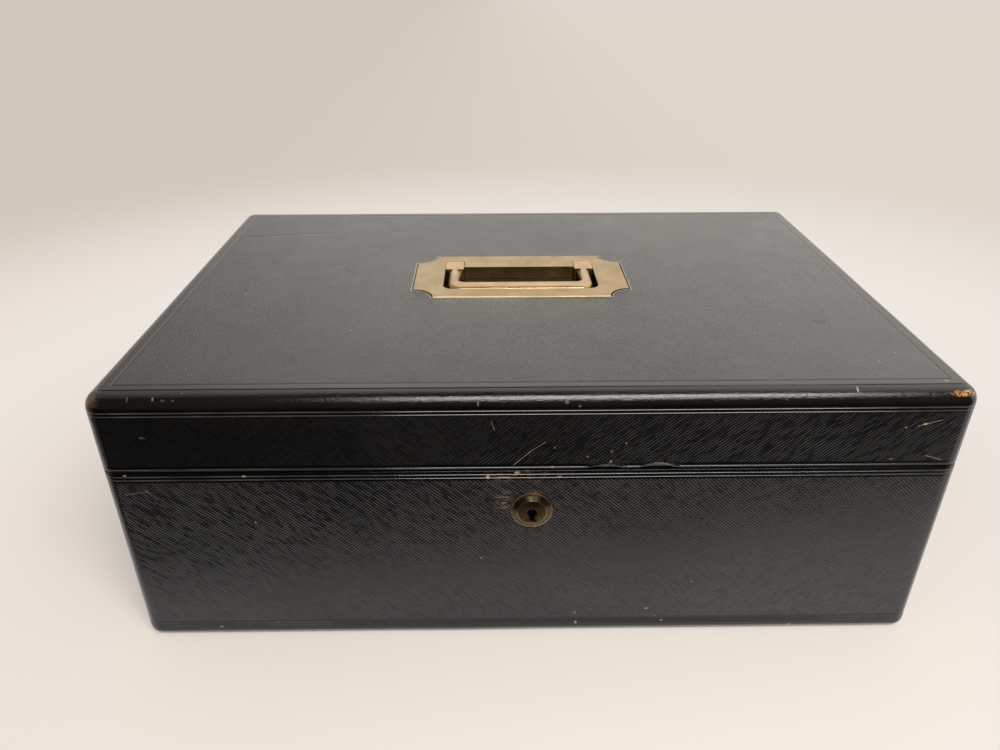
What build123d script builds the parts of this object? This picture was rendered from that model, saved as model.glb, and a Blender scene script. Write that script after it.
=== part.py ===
from build123d import *
import os
from math import radians, sqrt, tan

# Dispatch box: a leather-covered wooden box for papers, with a shallow lid on two
# butt hinges, a flush brass carrying handle in the lid and a lever lock in the front.
# Origin at the middle of the underside, X to the right, Y to the back, Z up.

os.makedirs("parts", exist_ok=True)

# Overall size of the closed box, over the leather
box_width = 356.0
box_depth = 242.0
box_height = 129.5
base_height = 93.3
rim_gap = 0.6

# Leather cover and its rounded edges
leather = 1.2
corner_radius = 7.2
top_roll_radius = 7.2
foot_radius = 4.0
rim_edge_radius = 0.8
underside_turn_in = 16.0

# Sheet that closes the underside, and stands the box on the table
underside_sheet_thickness = 0.6
underside_sheet_inset = 6.0

# Wooden carcass
wall = 9.0
bottom_board_thickness = 8.0
top_board_thickness = 11.0
base_tail_count = 4
lid_tail_count = 1
tail_angle = 9.0
tail_share = 0.56

# Liner boards of the base, the dust lip that they form, and the linings
liner = 3.2
floor_lining_thickness = 1.0
lip_height = 4.0
lip_step = 1.1
lip_edge_radius = 0.7
lid_wall_lining_thickness = 0.6
ceiling_lining_thickness = 1.0

# Butt hinges
hinge_end_inset = 68.0
hinge_length = 38.0
hinge_leaf_width = 8.4
hinge_leaf_thickness = 2.0
hinge_leaf_gap = 0.1
hinge_barrel_radius = 3.0
hinge_pin_radius = 1.2
hinge_barrel_proud = 2.6
hinge_knuckle_count = 5
hinge_knuckle_gap = 0.2
hinge_barrel_clearance = 0.35
hinge_screw_pitch = 22.0
hinge_screw_setback = 5.4

# Wood screws of hinges and lock
screw_shank_radius = 1.1
screw_head_radius = 2.1
screw_head_height = 1.0
hinge_screw_length = 11.0
lock_screw_length = 6.5

# Clearances
fixed_clearance = 0.02
running_clearance = 0.05
seam_clearance = 0.15

# How far a cut runs past the face that it opens, and how closely an edge is matched
cut_margin = 1.0
match_tolerance = 0.01

# Lock: key axis, case and its plates
lock_below_rim = 20.1
lock_case_width = 52.4
lock_case_drop = 13.2
lock_case_depth = 6.0
lock_case_wall = 1.2
lock_plate_thickness = 1.5
lock_plate_width = 66.0
lock_plate_drop = 16.0
selvedge_thickness = 1.8
lock_screw_inset = 3.4

# Lock: nozzle, keyhole and drill pin
nozzle_flange_radius = 8.8
nozzle_rim_radius = 8.2
nozzle_face_radius = 6.0
nozzle_proud = 2.6
nozzle_rim_proud = 0.9
nozzle_neck_radius = 7.4
keyhole_radius = 2.15
keyhole_slot_width = 1.9
keyhole_slot_reach = 4.1
drill_pin_radius = 0.95
drill_pin_setback = 1.0

# Lock: bolt
bolt_thickness = 2.0
bolt_travel = 4.0
bolt_low = 2.4
bolt_high = 7.6
bolt_left = -21.7
bolt_right = 18.0
finger_height = 2.6
finger_low = 12.7
finger_tip_clearance = 0.8
post_width = 3.2
talon_width = 6.0
talon_depth = 1.7
stump_width = 1.6
stump_height = 1.6
stump_centre = (-12.0, 5.0)
guide_stud_centre = (11.0, 5.0)
guide_stud_radius = 1.2

# Lock: levers
lever_count = 3
lever_thickness = 0.7
lever_gap = 0.1
lever_pivot = (20.0, -2.0)
lever_post_radius = 1.6
lever_hub_radius = 3.8
lever_drop = 1.8
lever_gate_clearance = 0.2
lever_pocket_clearance = 0.6
lever_pocket_headroom = 0.4
lever_metal_above = 1.0
lever_metal_below = 1.6
lever_nose = 2.2
lever_belly_radii = (3.1, 3.4, 3.7)
spring_thickness = 0.35
spring_setback = 8.0
spring_clearance = 0.2
spring_radius = 9.0
spring_bend = 45.0
spring_tip_ahead = 2.5

# Lock: hook plate in the lid
hook_thickness = 1.5
hook_width = 6.0
hook_nose_low = 10.0
hook_notch_low = 12.4
hook_notch_high = 15.6
hook_notch_depth = 3.4
hook_lefts = (-14.0, 9.0)
hook_slot_clearance = 0.4

# Flush handle: brass plate, let into the lid slightly out of the middle
handle_centre = (-1.2, 4.0)
plate_width = 110.0
plate_depth = 58.0
plate_corner_radius = 10.5
plate_thickness = 1.8
plate_proud = 0.2
plate_leather_gap = 0.3
opening_width = 80.0
opening_front = -17.9
opening_rear = 12.6
opening_corner_radius = 4.5
recess_depth = 6.7

# Flush handle: pan under the plate
pan_width = 93.0
pan_front = -22.5
pan_depth = 9.4
pan_rear = 26.0

# Flush handle: folding bail
knuckle_width = 10.0
knuckle_rear = 20.8
knuckle_pivot_depth = 3.2
bail_thickness = 6.2
bail_below_plate = 0.2
bail_side_gap = 2.0
bail_arm_width = 6.3
bail_grip_width = 9.0
bail_grip_centre = -10.9
bail_outer_radius = 7.0
bail_inner_radius = 3.2
bail_edge_radius = 2.7
handle_pin_radius = 1.1
handle_pin_in_keeper = 4.0
handle_pin_in_pan = 4.5

# Flush handle: keeper bar between the knuckles, studs and nuts
keeper_depth = 6.5
stud_radius = 1.5
stud_places = (50.5, 11.0)
nut_radius = 3.6
nut_thickness = 2.4
nut_pocket_clearance = 0.3

# Heights worked out from the sizes above
cover_bottom = underside_sheet_thickness
base_wood_low = cover_bottom + leather
base_wood_high = base_height - leather
base_walls_low = base_wood_low + bottom_board_thickness
lid_bottom = base_height + rim_gap
lid_wood_low = lid_bottom + leather
lid_wood_high = box_height - leather
lid_walls_high = lid_wood_high - top_board_thickness
split_height = base_height + rim_gap / 2

# Half sizes of the wood and of the space inside the walls
wood_half_width = box_width / 2 - leather
wood_half_depth = box_depth / 2 - leather
inner_half_width = wood_half_width - wall
inner_half_depth = wood_half_depth - wall

# Hinge axis, behind the back face
hinge_axis_y = box_depth / 2 + hinge_barrel_proud - hinge_barrel_radius
hinge_axis_z = split_height
hinge_right_centre = box_width / 2 - hinge_end_inset
hinge_centres = (-hinge_right_centre, hinge_right_centre)
hinge_screw_offsets = (-hinge_screw_pitch / 2, hinge_screw_pitch / 2)


def finish(piece, name):
    """Labels a finished piece and writes it as its own file."""
    piece.label = name
    export_step(piece, f"parts/{name}.step")


def rounded_block(width, depth, low, high, corner, top, bottom):
    """A block with rounded upright edges, and its top and bottom edges rounded."""
    with BuildPart() as block:
        with BuildSketch(Plane.XY.offset(low)):
            RectangleRounded(width, depth, corner)
        extrude(amount=high - low)
        if top > 0:
            fillet(block.faces().sort_by(Axis.Z)[-1].edges(), radius=top)
        if bottom > 0:
            fillet(block.faces().sort_by(Axis.Z)[0].edges(), radius=bottom)
    return block.part


def bar(x_range, y_range, z_range):
    """A plain block between two limits on each axis."""
    with BuildPart() as block:
        with BuildSketch(Plane.XY.offset(z_range[0])):
            with Locations(((x_range[0] + x_range[1]) / 2, (y_range[0] + y_range[1]) / 2)):
                Rectangle(x_range[1] - x_range[0], y_range[1] - y_range[0])
        extrude(amount=z_range[1] - z_range[0])
    return block.part


def rod_along_x(x_low, x_high, y, z, radius):
    """A round rod parallel to X."""
    with BuildPart() as rod:
        with BuildSketch(Plane(origin=(x_low, y, z), x_dir=(0, 1, 0), z_dir=(1, 0, 0))):
            Circle(radius)
        extrude(amount=x_high - x_low)
    return rod.part


def corner_tails(x_side, y_side, low, high, count):
    """The dovetails at the end of a side board, as wide as the wall and flaring outwards."""
    pitch = (high - low) / count
    half = pitch * tail_share / 2
    flare = wall * tan(radians(tail_angle))
    outer = y_side * wood_half_depth
    inner = y_side * inner_half_depth
    start = wood_half_width - wall if x_side > 0 else -wood_half_width
    with BuildPart() as tails:
        for i in range(count):
            middle = low + pitch * (i + 0.5)
            with BuildSketch(Plane.YZ.offset(start)):
                with BuildLine():
                    Polyline(
                        (outer, middle - half),
                        (outer, middle + half),
                        (inner, middle + half - flare),
                        (inner, middle - half + flare),
                        close=True,
                    )
                make_face()
            extrude(amount=wall)
    return tails.part


def countersunk_screw(plane, length):
    """A wood screw, head up along the plane's normal, its head flush with the plane."""
    with BuildPart() as screw:
        with BuildSketch(Plane(origin=plane.origin, x_dir=plane.x_dir, z_dir=-plane.z_dir)):
            Circle(screw_shank_radius)
        extrude(amount=length)
        with BuildSketch(plane):
            Circle(screw_head_radius)
        with BuildSketch(plane.offset(-screw_head_height)):
            Circle(screw_shank_radius)
        loft()
    return screw.part


def screw_hole(plane, length):
    """The space that a countersunk screw takes, with the clearance of a fixed piece."""
    with BuildPart() as hole:
        with BuildSketch(Plane(origin=plane.origin, x_dir=plane.x_dir, z_dir=-plane.z_dir)):
            Circle(screw_shank_radius + fixed_clearance)
        extrude(amount=length + fixed_clearance)
        with BuildSketch(plane):
            Circle(screw_head_radius + fixed_clearance)
        with BuildSketch(plane.offset(-screw_head_height)):
            Circle(screw_shank_radius + fixed_clearance)
        loft()
    return hole.part


# Envelopes of the wood, inside the leather
base_envelope = rounded_block(
    2 * wood_half_width,
    2 * wood_half_depth,
    base_wood_low,
    base_wood_high,
    corner_radius - leather,
    0,
    foot_radius - leather,
)
lid_envelope = rounded_block(
    2 * wood_half_width,
    2 * wood_half_depth,
    lid_wood_low,
    lid_wood_high,
    corner_radius - leather,
    top_roll_radius - leather,
    0,
)

# Space cut for each hinge in wood, leather and linings
base_leaf_high = hinge_axis_z - hinge_leaf_gap / 2
base_leaf_low = base_leaf_high - hinge_leaf_thickness
lid_leaf_low = hinge_axis_z + hinge_leaf_gap / 2
lid_leaf_high = lid_leaf_low + hinge_leaf_thickness
hinge_screw_y = hinge_axis_y - hinge_screw_setback
hinge_cuts = []
base_hinge_screws = []
lid_hinge_screws = []
for centre in hinge_centres:
    half = hinge_length / 2 + seam_clearance
    front = hinge_axis_y - hinge_leaf_width - seam_clearance
    hinge_cuts.append(
        rod_along_x(
            centre - half,
            centre + half,
            hinge_axis_y,
            hinge_axis_z,
            hinge_barrel_radius + hinge_barrel_clearance,
        )
    )
    hinge_cuts.append(
        bar(
            (centre - half, centre + half),
            (front, hinge_axis_y),
            (base_leaf_low, lid_leaf_high),
        )
    )
    for offset_x in hinge_screw_offsets:
        at_base = Plane(origin=(centre + offset_x, hinge_screw_y, base_leaf_high))
        at_lid = Plane(
            origin=(centre + offset_x, hinge_screw_y, lid_leaf_low), z_dir=(0, 0, -1)
        )
        base_hinge_screws.append(at_base)
        lid_hinge_screws.append(at_lid)

# Lock frame: key axis at its origin, X to the right and Z up, as seen from the front
key_height = base_height - lock_below_rim
lock_back = -inner_half_depth
lock_cap_front = lock_back - lock_plate_thickness
lock_case_front = lock_cap_front - lock_case_depth
lock_room_front = lock_case_front + lock_case_wall
front_face = -box_depth / 2


def lock_plane(y):
    """A plane square to the key axis at depth y, with its normal towards the back."""
    return Plane(origin=(0, y, key_height), x_dir=(1, 0, 0), z_dir=(0, -1, 0))


def lock_slab(sketch, front, back):
    """A flat lock piece: a profile about the key axis, between two depths."""
    with BuildPart() as slab:
        with BuildSketch(lock_plane(back)):
            add(sketch)
        extrude(amount=back - front)
    return slab.part


def lock_rod(centre, radius, front, back):
    """A round stud of the lock, parallel to the key axis."""
    with BuildPart() as stud:
        with BuildSketch(lock_plane(back)):
            with Locations(centre):
                Circle(radius)
        extrude(amount=back - front)
    return stud.part


def box_profile(left, right, low, high):
    """A rectangle given by its limits."""
    with BuildSketch() as profile:
        with Locations(((left + right) / 2, (low + high) / 2)):
            Rectangle(right - left, high - low)
    return profile.sketch


case_half = lock_case_width / 2
plate_half = lock_plate_width / 2
selvedge_low = lock_below_rim - selvedge_thickness
selvedge_front = lock_case_front
cap_profile = box_profile(-plate_half, plate_half, -lock_plate_drop, selvedge_low)
case_profile = box_profile(-case_half, case_half, -lock_case_drop, selvedge_low)
lock_space = lock_slab(case_profile, lock_case_front, lock_cap_front)
cap_space = lock_slab(cap_profile, lock_cap_front, lock_back)
selvedge_space = lock_slab(
    box_profile(-plate_half, plate_half, selvedge_low, lock_below_rim),
    selvedge_front,
    lock_back,
)
nozzle_space = lock_rod(
    (0, 0), nozzle_neck_radius + fixed_clearance, front_face - cut_margin, lock_case_front
)

# Lock screws: two through the cap into the front board, two down through the selvedge
lock_screw_x = plate_half - lock_screw_inset
cap_screw_z = key_height - lock_plate_drop + lock_screw_inset
lock_screws = [
    Plane(origin=(x * lock_screw_x, lock_back, cap_screw_z), x_dir=(1, 0, 0), z_dir=(0, 1, 0))
    for x in (-1, 1)
]
selvedge_middle = (selvedge_front + lock_back) / 2
selvedge_screws = [
    Plane(origin=(x * lock_screw_x, selvedge_middle, base_height)) for x in (-1, 1)
]

# Hook plate let into the rim of the lid, over the selvedge
hook_plate_high = lid_bottom + selvedge_thickness
hook_plate_space = bar(
    (-plate_half, plate_half),
    (selvedge_front, lock_back),
    (lid_bottom, hook_plate_high),
)
hook_screws = [
    Plane(origin=(x * lock_screw_x, selvedge_middle, lid_bottom), z_dir=(0, 0, -1))
    for x in (-1, 1)
]

# Handle levels and the shapes cut for it in the lid
plate_top = box_height + plate_proud
plate_low = plate_top - plate_thickness
pan_low = plate_top - pan_depth
pivot_y = handle_centre[1] + knuckle_rear - knuckle_pivot_depth
pivot_z = plate_top - knuckle_pivot_depth
corner_sweep = sqrt(2) * knuckle_pivot_depth + seam_clearance


def handle_plane(z):
    """A level plane with its origin at the middle of the handle plate."""
    return Plane(origin=(handle_centre[0], handle_centre[1], z))


def pivot_plane(x):
    """A plane square to the handle's pivot axis at x, with its origin on the axis."""
    return Plane(origin=(x, pivot_y, pivot_z), x_dir=(0, 1, 0), z_dir=(1, 0, 0))


def plate_outline(spread):
    """The plate's outline, a rectangle with four hollow quarter-round corners."""
    with BuildSketch() as outline:
        Rectangle(plate_width + 2 * spread, plate_depth + 2 * spread)
        with GridLocations(plate_width, plate_depth, 2, 2):
            Circle(plate_corner_radius - spread, mode=Mode.SUBTRACT)
    return outline.sketch


with BuildPart() as plate_recess:
    with BuildSketch(handle_plane(plate_low)):
        add(plate_outline(plate_leather_gap))
    extrude(amount=plate_thickness + cut_margin)
with BuildPart() as pan_recess:
    with BuildSketch(handle_plane(pan_low)):
        add(
            box_profile(
                -pan_width / 2 - fixed_clearance,
                pan_width / 2 + fixed_clearance,
                pan_front - fixed_clearance,
                pan_rear + fixed_clearance,
            )
        )
    extrude(amount=pan_depth)
nut_pocket_height = nut_thickness + nut_pocket_clearance
with BuildPart() as stud_holes:
    with BuildSketch(handle_plane(lid_walls_high - cut_margin)):
        with GridLocations(2 * stud_places[0], 2 * stud_places[1], 2, 2):
            Circle(stud_radius + fixed_clearance)
    extrude(amount=plate_low - lid_walls_high + 2 * cut_margin)
    with BuildSketch(handle_plane(lid_walls_high - cut_margin)):
        with GridLocations(2 * stud_places[0], 2 * stud_places[1], 2, 2):
            Circle(nut_radius + nut_pocket_clearance)
    extrude(amount=nut_pocket_height + cut_margin)

# Bottom board, with a raised panel inside the turned-in leather
with BuildPart() as base_bottom_board:
    add(base_envelope)
    split(bisect_by=Plane.XY.offset(base_walls_low), keep=Keep.BOTTOM)
    with BuildSketch(Plane.XY.offset(cover_bottom)):
        Rectangle(box_width - 2 * underside_turn_in, box_depth - 2 * underside_turn_in)
    extrude(amount=leather)
finish(base_bottom_board.part, "base_bottom_board")

# Front and back boards of the base
for name, y_side in (("base_front_board", -1), ("base_back_board", 1)):
    y_range = sorted((y_side * inner_half_depth, y_side * wood_half_depth))
    with BuildPart() as base_long_board:
        add(
            bar(
                (-wood_half_width, wood_half_width),
                y_range,
                (base_walls_low, base_wood_high),
            )
        )
        add(base_envelope, mode=Mode.INTERSECT)
        for x_side in (-1, 1):
            add(
                corner_tails(x_side, y_side, base_walls_low, base_wood_high, base_tail_count),
                mode=Mode.SUBTRACT,
            )
        if y_side < 0:
            for space in (lock_space, cap_space, selvedge_space, nozzle_space):
                add(space, mode=Mode.SUBTRACT)
            for plane in lock_screws + selvedge_screws:
                add(screw_hole(plane, lock_screw_length), mode=Mode.SUBTRACT)
        else:
            for space in hinge_cuts:
                add(space, mode=Mode.SUBTRACT)
            for plane in base_hinge_screws:
                add(screw_hole(plane, hinge_screw_length), mode=Mode.SUBTRACT)
    finish(base_long_board.part, name)

# Side boards of the base, with the dovetails
for name, x_side in (("base_left_board", -1), ("base_right_board", 1)):
    x_range = sorted((x_side * inner_half_width, x_side * wood_half_width))
    with BuildPart() as base_side_board:
        add(bar(x_range, (-inner_half_depth, inner_half_depth), (base_walls_low, base_wood_high)))
        for y_side in (-1, 1):
            add(corner_tails(x_side, y_side, base_walls_low, base_wood_high, base_tail_count))
        add(base_envelope, mode=Mode.INTERSECT)
    finish(base_side_board.part, name)

# Leather cover of the base: over the rim and turned in under the bottom
rim_opening = bar(
    (-inner_half_width, inner_half_width),
    (-inner_half_depth, inner_half_depth),
    (base_wood_high - cut_margin, base_height + cut_margin),
)
with BuildPart() as base_cover:
    add(
        rounded_block(
            box_width,
            box_depth,
            cover_bottom,
            base_height,
            corner_radius,
            rim_edge_radius,
            foot_radius,
        )
    )
    add(base_envelope, mode=Mode.SUBTRACT)
    add(rim_opening, mode=Mode.SUBTRACT)
    with BuildSketch(Plane.XY.offset(cover_bottom)):
        Rectangle(box_width - 2 * underside_turn_in, box_depth - 2 * underside_turn_in)
    extrude(amount=leather, mode=Mode.SUBTRACT)
    for space in hinge_cuts + [selvedge_space, nozzle_space]:
        add(space, mode=Mode.SUBTRACT)
finish(base_cover.part, "base_cover")

# Sheet on the underside
with BuildPart() as underside_sheet:
    with BuildSketch():
        RectangleRounded(
            box_width - 2 * underside_sheet_inset,
            box_depth - 2 * underside_sheet_inset,
            corner_radius / 2,
        )
    extrude(amount=underside_sheet_thickness)
finish(underside_sheet.part, "underside_sheet")

# Floor lining of the base
floor_top = base_walls_low + floor_lining_thickness
with BuildPart() as base_floor_lining:
    with BuildSketch(Plane.XY.offset(base_walls_low)):
        Rectangle(2 * inner_half_width, 2 * inner_half_depth)
    extrude(amount=floor_lining_thickness)
finish(base_floor_lining.part, "base_floor_lining")

# Liner boards of the base, proud of the rim on three sides as a dust lip
lip_top = base_height + lip_height
lip_half_width = inner_half_width - lip_step
lip_half_depth = inner_half_depth - lip_step
room_half_width = inner_half_width - liner
room_half_depth = inner_half_depth - liner


def lip_profile(outer, stepped, room):
    """Section of a liner board: full thickness below the rim, thinner above it."""
    with BuildSketch() as profile:
        with BuildLine():
            Polyline(
                (outer, floor_top),
                (outer, base_height),
                (stepped, base_height),
                (stepped, lip_top),
                (room, lip_top),
                (room, floor_top),
                close=True,
            )
        make_face()
    return profile.sketch


with BuildPart() as base_liner_front:
    with BuildSketch(Plane.YZ.offset(-room_half_width)):
        add(lip_profile(-inner_half_depth, -lip_half_depth, -room_half_depth))
    extrude(amount=2 * room_half_width)
    fillet(
        base_liner_front.edges().filter_by(Axis.X).group_by(Axis.Z)[-1],
        radius=lip_edge_radius,
    )
finish(base_liner_front.part, "base_liner_front")

for name, x_side in (("base_liner_left", -1), ("base_liner_right", 1)):
    with BuildPart() as base_liner_side:
        with BuildSketch(Plane.XZ.offset(-room_half_depth)):
            add(
                lip_profile(
                    x_side * inner_half_width,
                    x_side * lip_half_width,
                    x_side * room_half_width,
                )
            )
        extrude(amount=room_half_depth + lip_half_depth)
        fillet(
            base_liner_side.edges().filter_by(Axis.Y).group_by(Axis.Z)[-1],
            radius=lip_edge_radius,
        )
        foot = bar(
            sorted((x_side * inner_half_width, x_side * room_half_width)),
            (-inner_half_depth, -lip_half_depth),
            (floor_top, base_height),
        )
        add(foot)
    finish(base_liner_side.part, name)

with BuildPart() as base_liner_back:
    add(
        bar(
            (-inner_half_width, inner_half_width),
            (room_half_depth, inner_half_depth),
            (floor_top, base_height),
        )
    )
    for space in hinge_cuts:
        add(space, mode=Mode.SUBTRACT)
finish(base_liner_back.part, "base_liner_back")

# Top board of the lid, let in for the plate and the pan of the handle
with BuildPart() as lid_top_board:
    add(lid_envelope)
    split(bisect_by=Plane.XY.offset(lid_walls_high), keep=Keep.TOP)
    for space in (plate_recess.part, pan_recess.part, stud_holes.part):
        add(space, mode=Mode.SUBTRACT)
    for plane in lid_hinge_screws:
        add(screw_hole(plane, hinge_screw_length), mode=Mode.SUBTRACT)
finish(lid_top_board.part, "lid_top_board")

# Front and back boards of the lid
for name, y_side in (("lid_front_board", -1), ("lid_back_board", 1)):
    y_range = sorted((y_side * inner_half_depth, y_side * wood_half_depth))
    with BuildPart() as lid_long_board:
        add(
            bar(
                (-wood_half_width, wood_half_width),
                y_range,
                (lid_wood_low, lid_walls_high),
            )
        )
        add(lid_envelope, mode=Mode.INTERSECT)
        for x_side in (-1, 1):
            add(
                corner_tails(x_side, y_side, lid_wood_low, lid_walls_high, lid_tail_count),
                mode=Mode.SUBTRACT,
            )
        if y_side < 0:
            add(hook_plate_space, mode=Mode.SUBTRACT)
            for plane in hook_screws:
                add(screw_hole(plane, lock_screw_length), mode=Mode.SUBTRACT)
        else:
            for space in hinge_cuts:
                add(space, mode=Mode.SUBTRACT)
            for plane in lid_hinge_screws:
                add(screw_hole(plane, hinge_screw_length), mode=Mode.SUBTRACT)
    finish(lid_long_board.part, name)

# Side boards of the lid
for name, x_side in (("lid_left_board", -1), ("lid_right_board", 1)):
    x_range = sorted((x_side * inner_half_width, x_side * wood_half_width))
    with BuildPart() as lid_side_board:
        add(bar(x_range, (-inner_half_depth, inner_half_depth), (lid_wood_low, lid_walls_high)))
        for y_side in (-1, 1):
            add(corner_tails(x_side, y_side, lid_wood_low, lid_walls_high, lid_tail_count))
        add(lid_envelope, mode=Mode.INTERSECT)
    finish(lid_side_board.part, name)

# Leather cover of the lid, cut round the handle plate and over the rim
with BuildPart() as lid_cover:
    add(
        rounded_block(
            box_width,
            box_depth,
            lid_bottom,
            box_height,
            corner_radius,
            top_roll_radius,
            rim_edge_radius,
        )
    )
    add(lid_envelope, mode=Mode.SUBTRACT)
    add(
        bar(
            (-inner_half_width, inner_half_width),
            (-inner_half_depth, inner_half_depth),
            (lid_bottom - cut_margin, lid_wood_low + cut_margin),
        ),
        mode=Mode.SUBTRACT,
    )
    for space in hinge_cuts + [hook_plate_space, plate_recess.part]:
        add(space, mode=Mode.SUBTRACT)
finish(lid_cover.part, "lid_cover")

# Linings of the lid
ceiling_low = lid_walls_high - ceiling_lining_thickness
with BuildPart() as lid_ceiling_lining:
    with BuildSketch(Plane.XY.offset(ceiling_low)):
        Rectangle(2 * inner_half_width, 2 * inner_half_depth)
    extrude(amount=ceiling_lining_thickness)
finish(lid_ceiling_lining.part, "lid_ceiling_lining")

with BuildPart() as lid_wall_lining:
    with BuildSketch(Plane.XY.offset(lid_bottom)):
        Rectangle(2 * inner_half_width, 2 * inner_half_depth)
        Rectangle(
            2 * (inner_half_width - lid_wall_lining_thickness),
            2 * (inner_half_depth - lid_wall_lining_thickness),
            mode=Mode.SUBTRACT,
        )
    extrude(amount=ceiling_low - lid_bottom)
finish(lid_wall_lining.part, "lid_wall_lining")

# Hinge leaves, with the barrel's knuckles taken in turn by base and lid
knuckle_pitch = hinge_length / hinge_knuckle_count
for side, centre in zip(("left", "right"), hinge_centres):
    for owner in ("base", "lid"):
        on_base = owner == "base"
        leaf_low = base_leaf_low if on_base else lid_leaf_low
        screws = base_hinge_screws if on_base else lid_hinge_screws
        with BuildPart() as hinge_leaf:
            add(
                bar(
                    (centre - hinge_length / 2, centre + hinge_length / 2),
                    (hinge_axis_y - hinge_leaf_width, hinge_axis_y),
                    (leaf_low, leaf_low + hinge_leaf_thickness),
                )
            )
            for i in range(hinge_knuckle_count):
                left = centre - hinge_length / 2 + i * knuckle_pitch
                if (i % 2 == 0) == on_base:
                    continue
                add(
                    rod_along_x(
                        left,
                        left + knuckle_pitch,
                        hinge_axis_y,
                        hinge_axis_z,
                        hinge_barrel_radius + hinge_knuckle_gap,
                    ),
                    mode=Mode.SUBTRACT,
                )
            for i in range(hinge_knuckle_count):
                left = centre - hinge_length / 2 + i * knuckle_pitch
                if (i % 2 == 0) != on_base:
                    continue
                first = 0 if i == 0 else hinge_knuckle_gap / 2
                last = 0 if i == hinge_knuckle_count - 1 else hinge_knuckle_gap / 2
                add(
                    rod_along_x(
                        left + first,
                        left + knuckle_pitch - last,
                        hinge_axis_y,
                        hinge_axis_z,
                        hinge_barrel_radius,
                    )
                )
            bore = fixed_clearance if on_base else running_clearance
            add(
                rod_along_x(
                    centre - hinge_length / 2 - cut_margin,
                    centre + hinge_length / 2 + cut_margin,
                    hinge_axis_y,
                    hinge_axis_z,
                    hinge_pin_radius + bore,
                ),
                mode=Mode.SUBTRACT,
            )
            for plane in screws:
                add(screw_hole(plane, hinge_screw_length), mode=Mode.SUBTRACT)
        finish(hinge_leaf.part, f"hinge_{side}_{owner}_leaf")

with BuildPart() as hinge_pins:
    for centre in hinge_centres:
        add(
            rod_along_x(
                centre - hinge_length / 2,
                centre + hinge_length / 2,
                hinge_axis_y,
                hinge_axis_z,
                hinge_pin_radius,
            )
        )
finish(hinge_pins.part, "hinge_pins")

for owner, planes in (("base", base_hinge_screws), ("lid", lid_hinge_screws)):
    with BuildPart() as hinge_screws:
        for plane in planes:
            add(countersunk_screw(plane, hinge_screw_length))
    finish(hinge_screws.part, f"hinge_{owner}_screws")

# Depths inside the lock case, from the front: bolt, then the levers
bolt_front = lock_room_front + lever_gap
bolt_back = bolt_front + bolt_thickness
hook_front = bolt_front + (bolt_thickness - hook_thickness) / 2
hook_back = hook_front + hook_thickness
lever_fronts = [
    bolt_back + lever_gap + i * (lever_thickness + lever_gap) for i in range(lever_count)
]
levers_back = lever_fronts[-1] + lever_thickness

# Lock case, cast with its selvedge, slotted for the hooks
keyhole_cut = box_profile(
    -keyhole_slot_width / 2, keyhole_slot_width / 2, -keyhole_slot_reach, 0
)
with BuildPart() as lock_case:
    add(lock_slab(case_profile, lock_case_front, lock_cap_front))
    add(
        lock_slab(
            box_profile(
                -case_half + lock_case_wall,
                case_half - lock_case_wall,
                -lock_case_drop + lock_case_wall,
                selvedge_low,
            ),
            lock_room_front,
            lock_cap_front,
        ),
        mode=Mode.SUBTRACT,
    )
    add(selvedge_space)
    for left in hook_lefts:
        add(
            lock_slab(
                box_profile(
                    left - hook_slot_clearance,
                    left + hook_width + hook_slot_clearance,
                    selvedge_low - cut_margin,
                    lock_below_rim + cut_margin,
                ),
                hook_front - hook_slot_clearance,
                hook_back + hook_slot_clearance,
            ),
            mode=Mode.SUBTRACT,
        )
    add(
        lock_slab(keyhole_cut, lock_case_front - cut_margin, lock_room_front),
        mode=Mode.SUBTRACT,
    )
    add(
        lock_rod((0, 0), keyhole_radius, lock_case_front - cut_margin, lock_room_front),
        mode=Mode.SUBTRACT,
    )
    for centre, radius in (
        (lever_pivot, lever_post_radius),
        (guide_stud_centre, guide_stud_radius),
    ):
        add(
            lock_rod(
                centre,
                radius + fixed_clearance,
                lock_case_front - cut_margin,
                lock_room_front,
            ),
            mode=Mode.SUBTRACT,
        )
    for plane in selvedge_screws:
        add(screw_hole(plane, lock_screw_length), mode=Mode.SUBTRACT)
finish(lock_case.part, "lock_case")

# Cap that closes the case on the inside of the box
with BuildPart() as lock_cap:
    add(cap_space)
    add(
        lock_rod(
            (0, 0),
            drill_pin_radius + fixed_clearance,
            lock_cap_front - cut_margin,
            lock_back + cut_margin,
        ),
        mode=Mode.SUBTRACT,
    )
    for plane in lock_screws:
        add(screw_hole(plane, lock_screw_length), mode=Mode.SUBTRACT)
finish(lock_cap.part, "lock_cap")

with BuildPart() as lock_screws_part:
    for plane in lock_screws + selvedge_screws:
        add(countersunk_screw(plane, lock_screw_length))
finish(lock_screws_part.part, "lock_screws")

# Nozzle: a turned flange with a bevelled boss, its neck passing to the case
nozzle_face = front_face - nozzle_proud
with BuildPart() as lock_nozzle:
    with BuildSketch(Plane(origin=(0, 0, key_height), x_dir=(1, 0, 0), z_dir=(0, 0, 1))):
        with BuildLine():
            Polyline(
                (0, lock_case_front),
                (nozzle_neck_radius, lock_case_front),
                (nozzle_neck_radius, front_face),
                (nozzle_flange_radius, front_face),
                (nozzle_flange_radius, front_face - nozzle_rim_proud),
                (nozzle_rim_radius, front_face - nozzle_rim_proud),
                (nozzle_face_radius, nozzle_face),
                (0, nozzle_face),
                close=True,
            )
        make_face()
    revolve(axis=Axis((0, 0, key_height), (0, 1, 0)))
    add(
        lock_slab(keyhole_cut, nozzle_face - cut_margin, lock_case_front + cut_margin),
        mode=Mode.SUBTRACT,
    )
    add(
        lock_rod((0, 0), keyhole_radius, nozzle_face - cut_margin, lock_case_front + cut_margin),
        mode=Mode.SUBTRACT,
    )
finish(lock_nozzle.part, "lock_nozzle")

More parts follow.
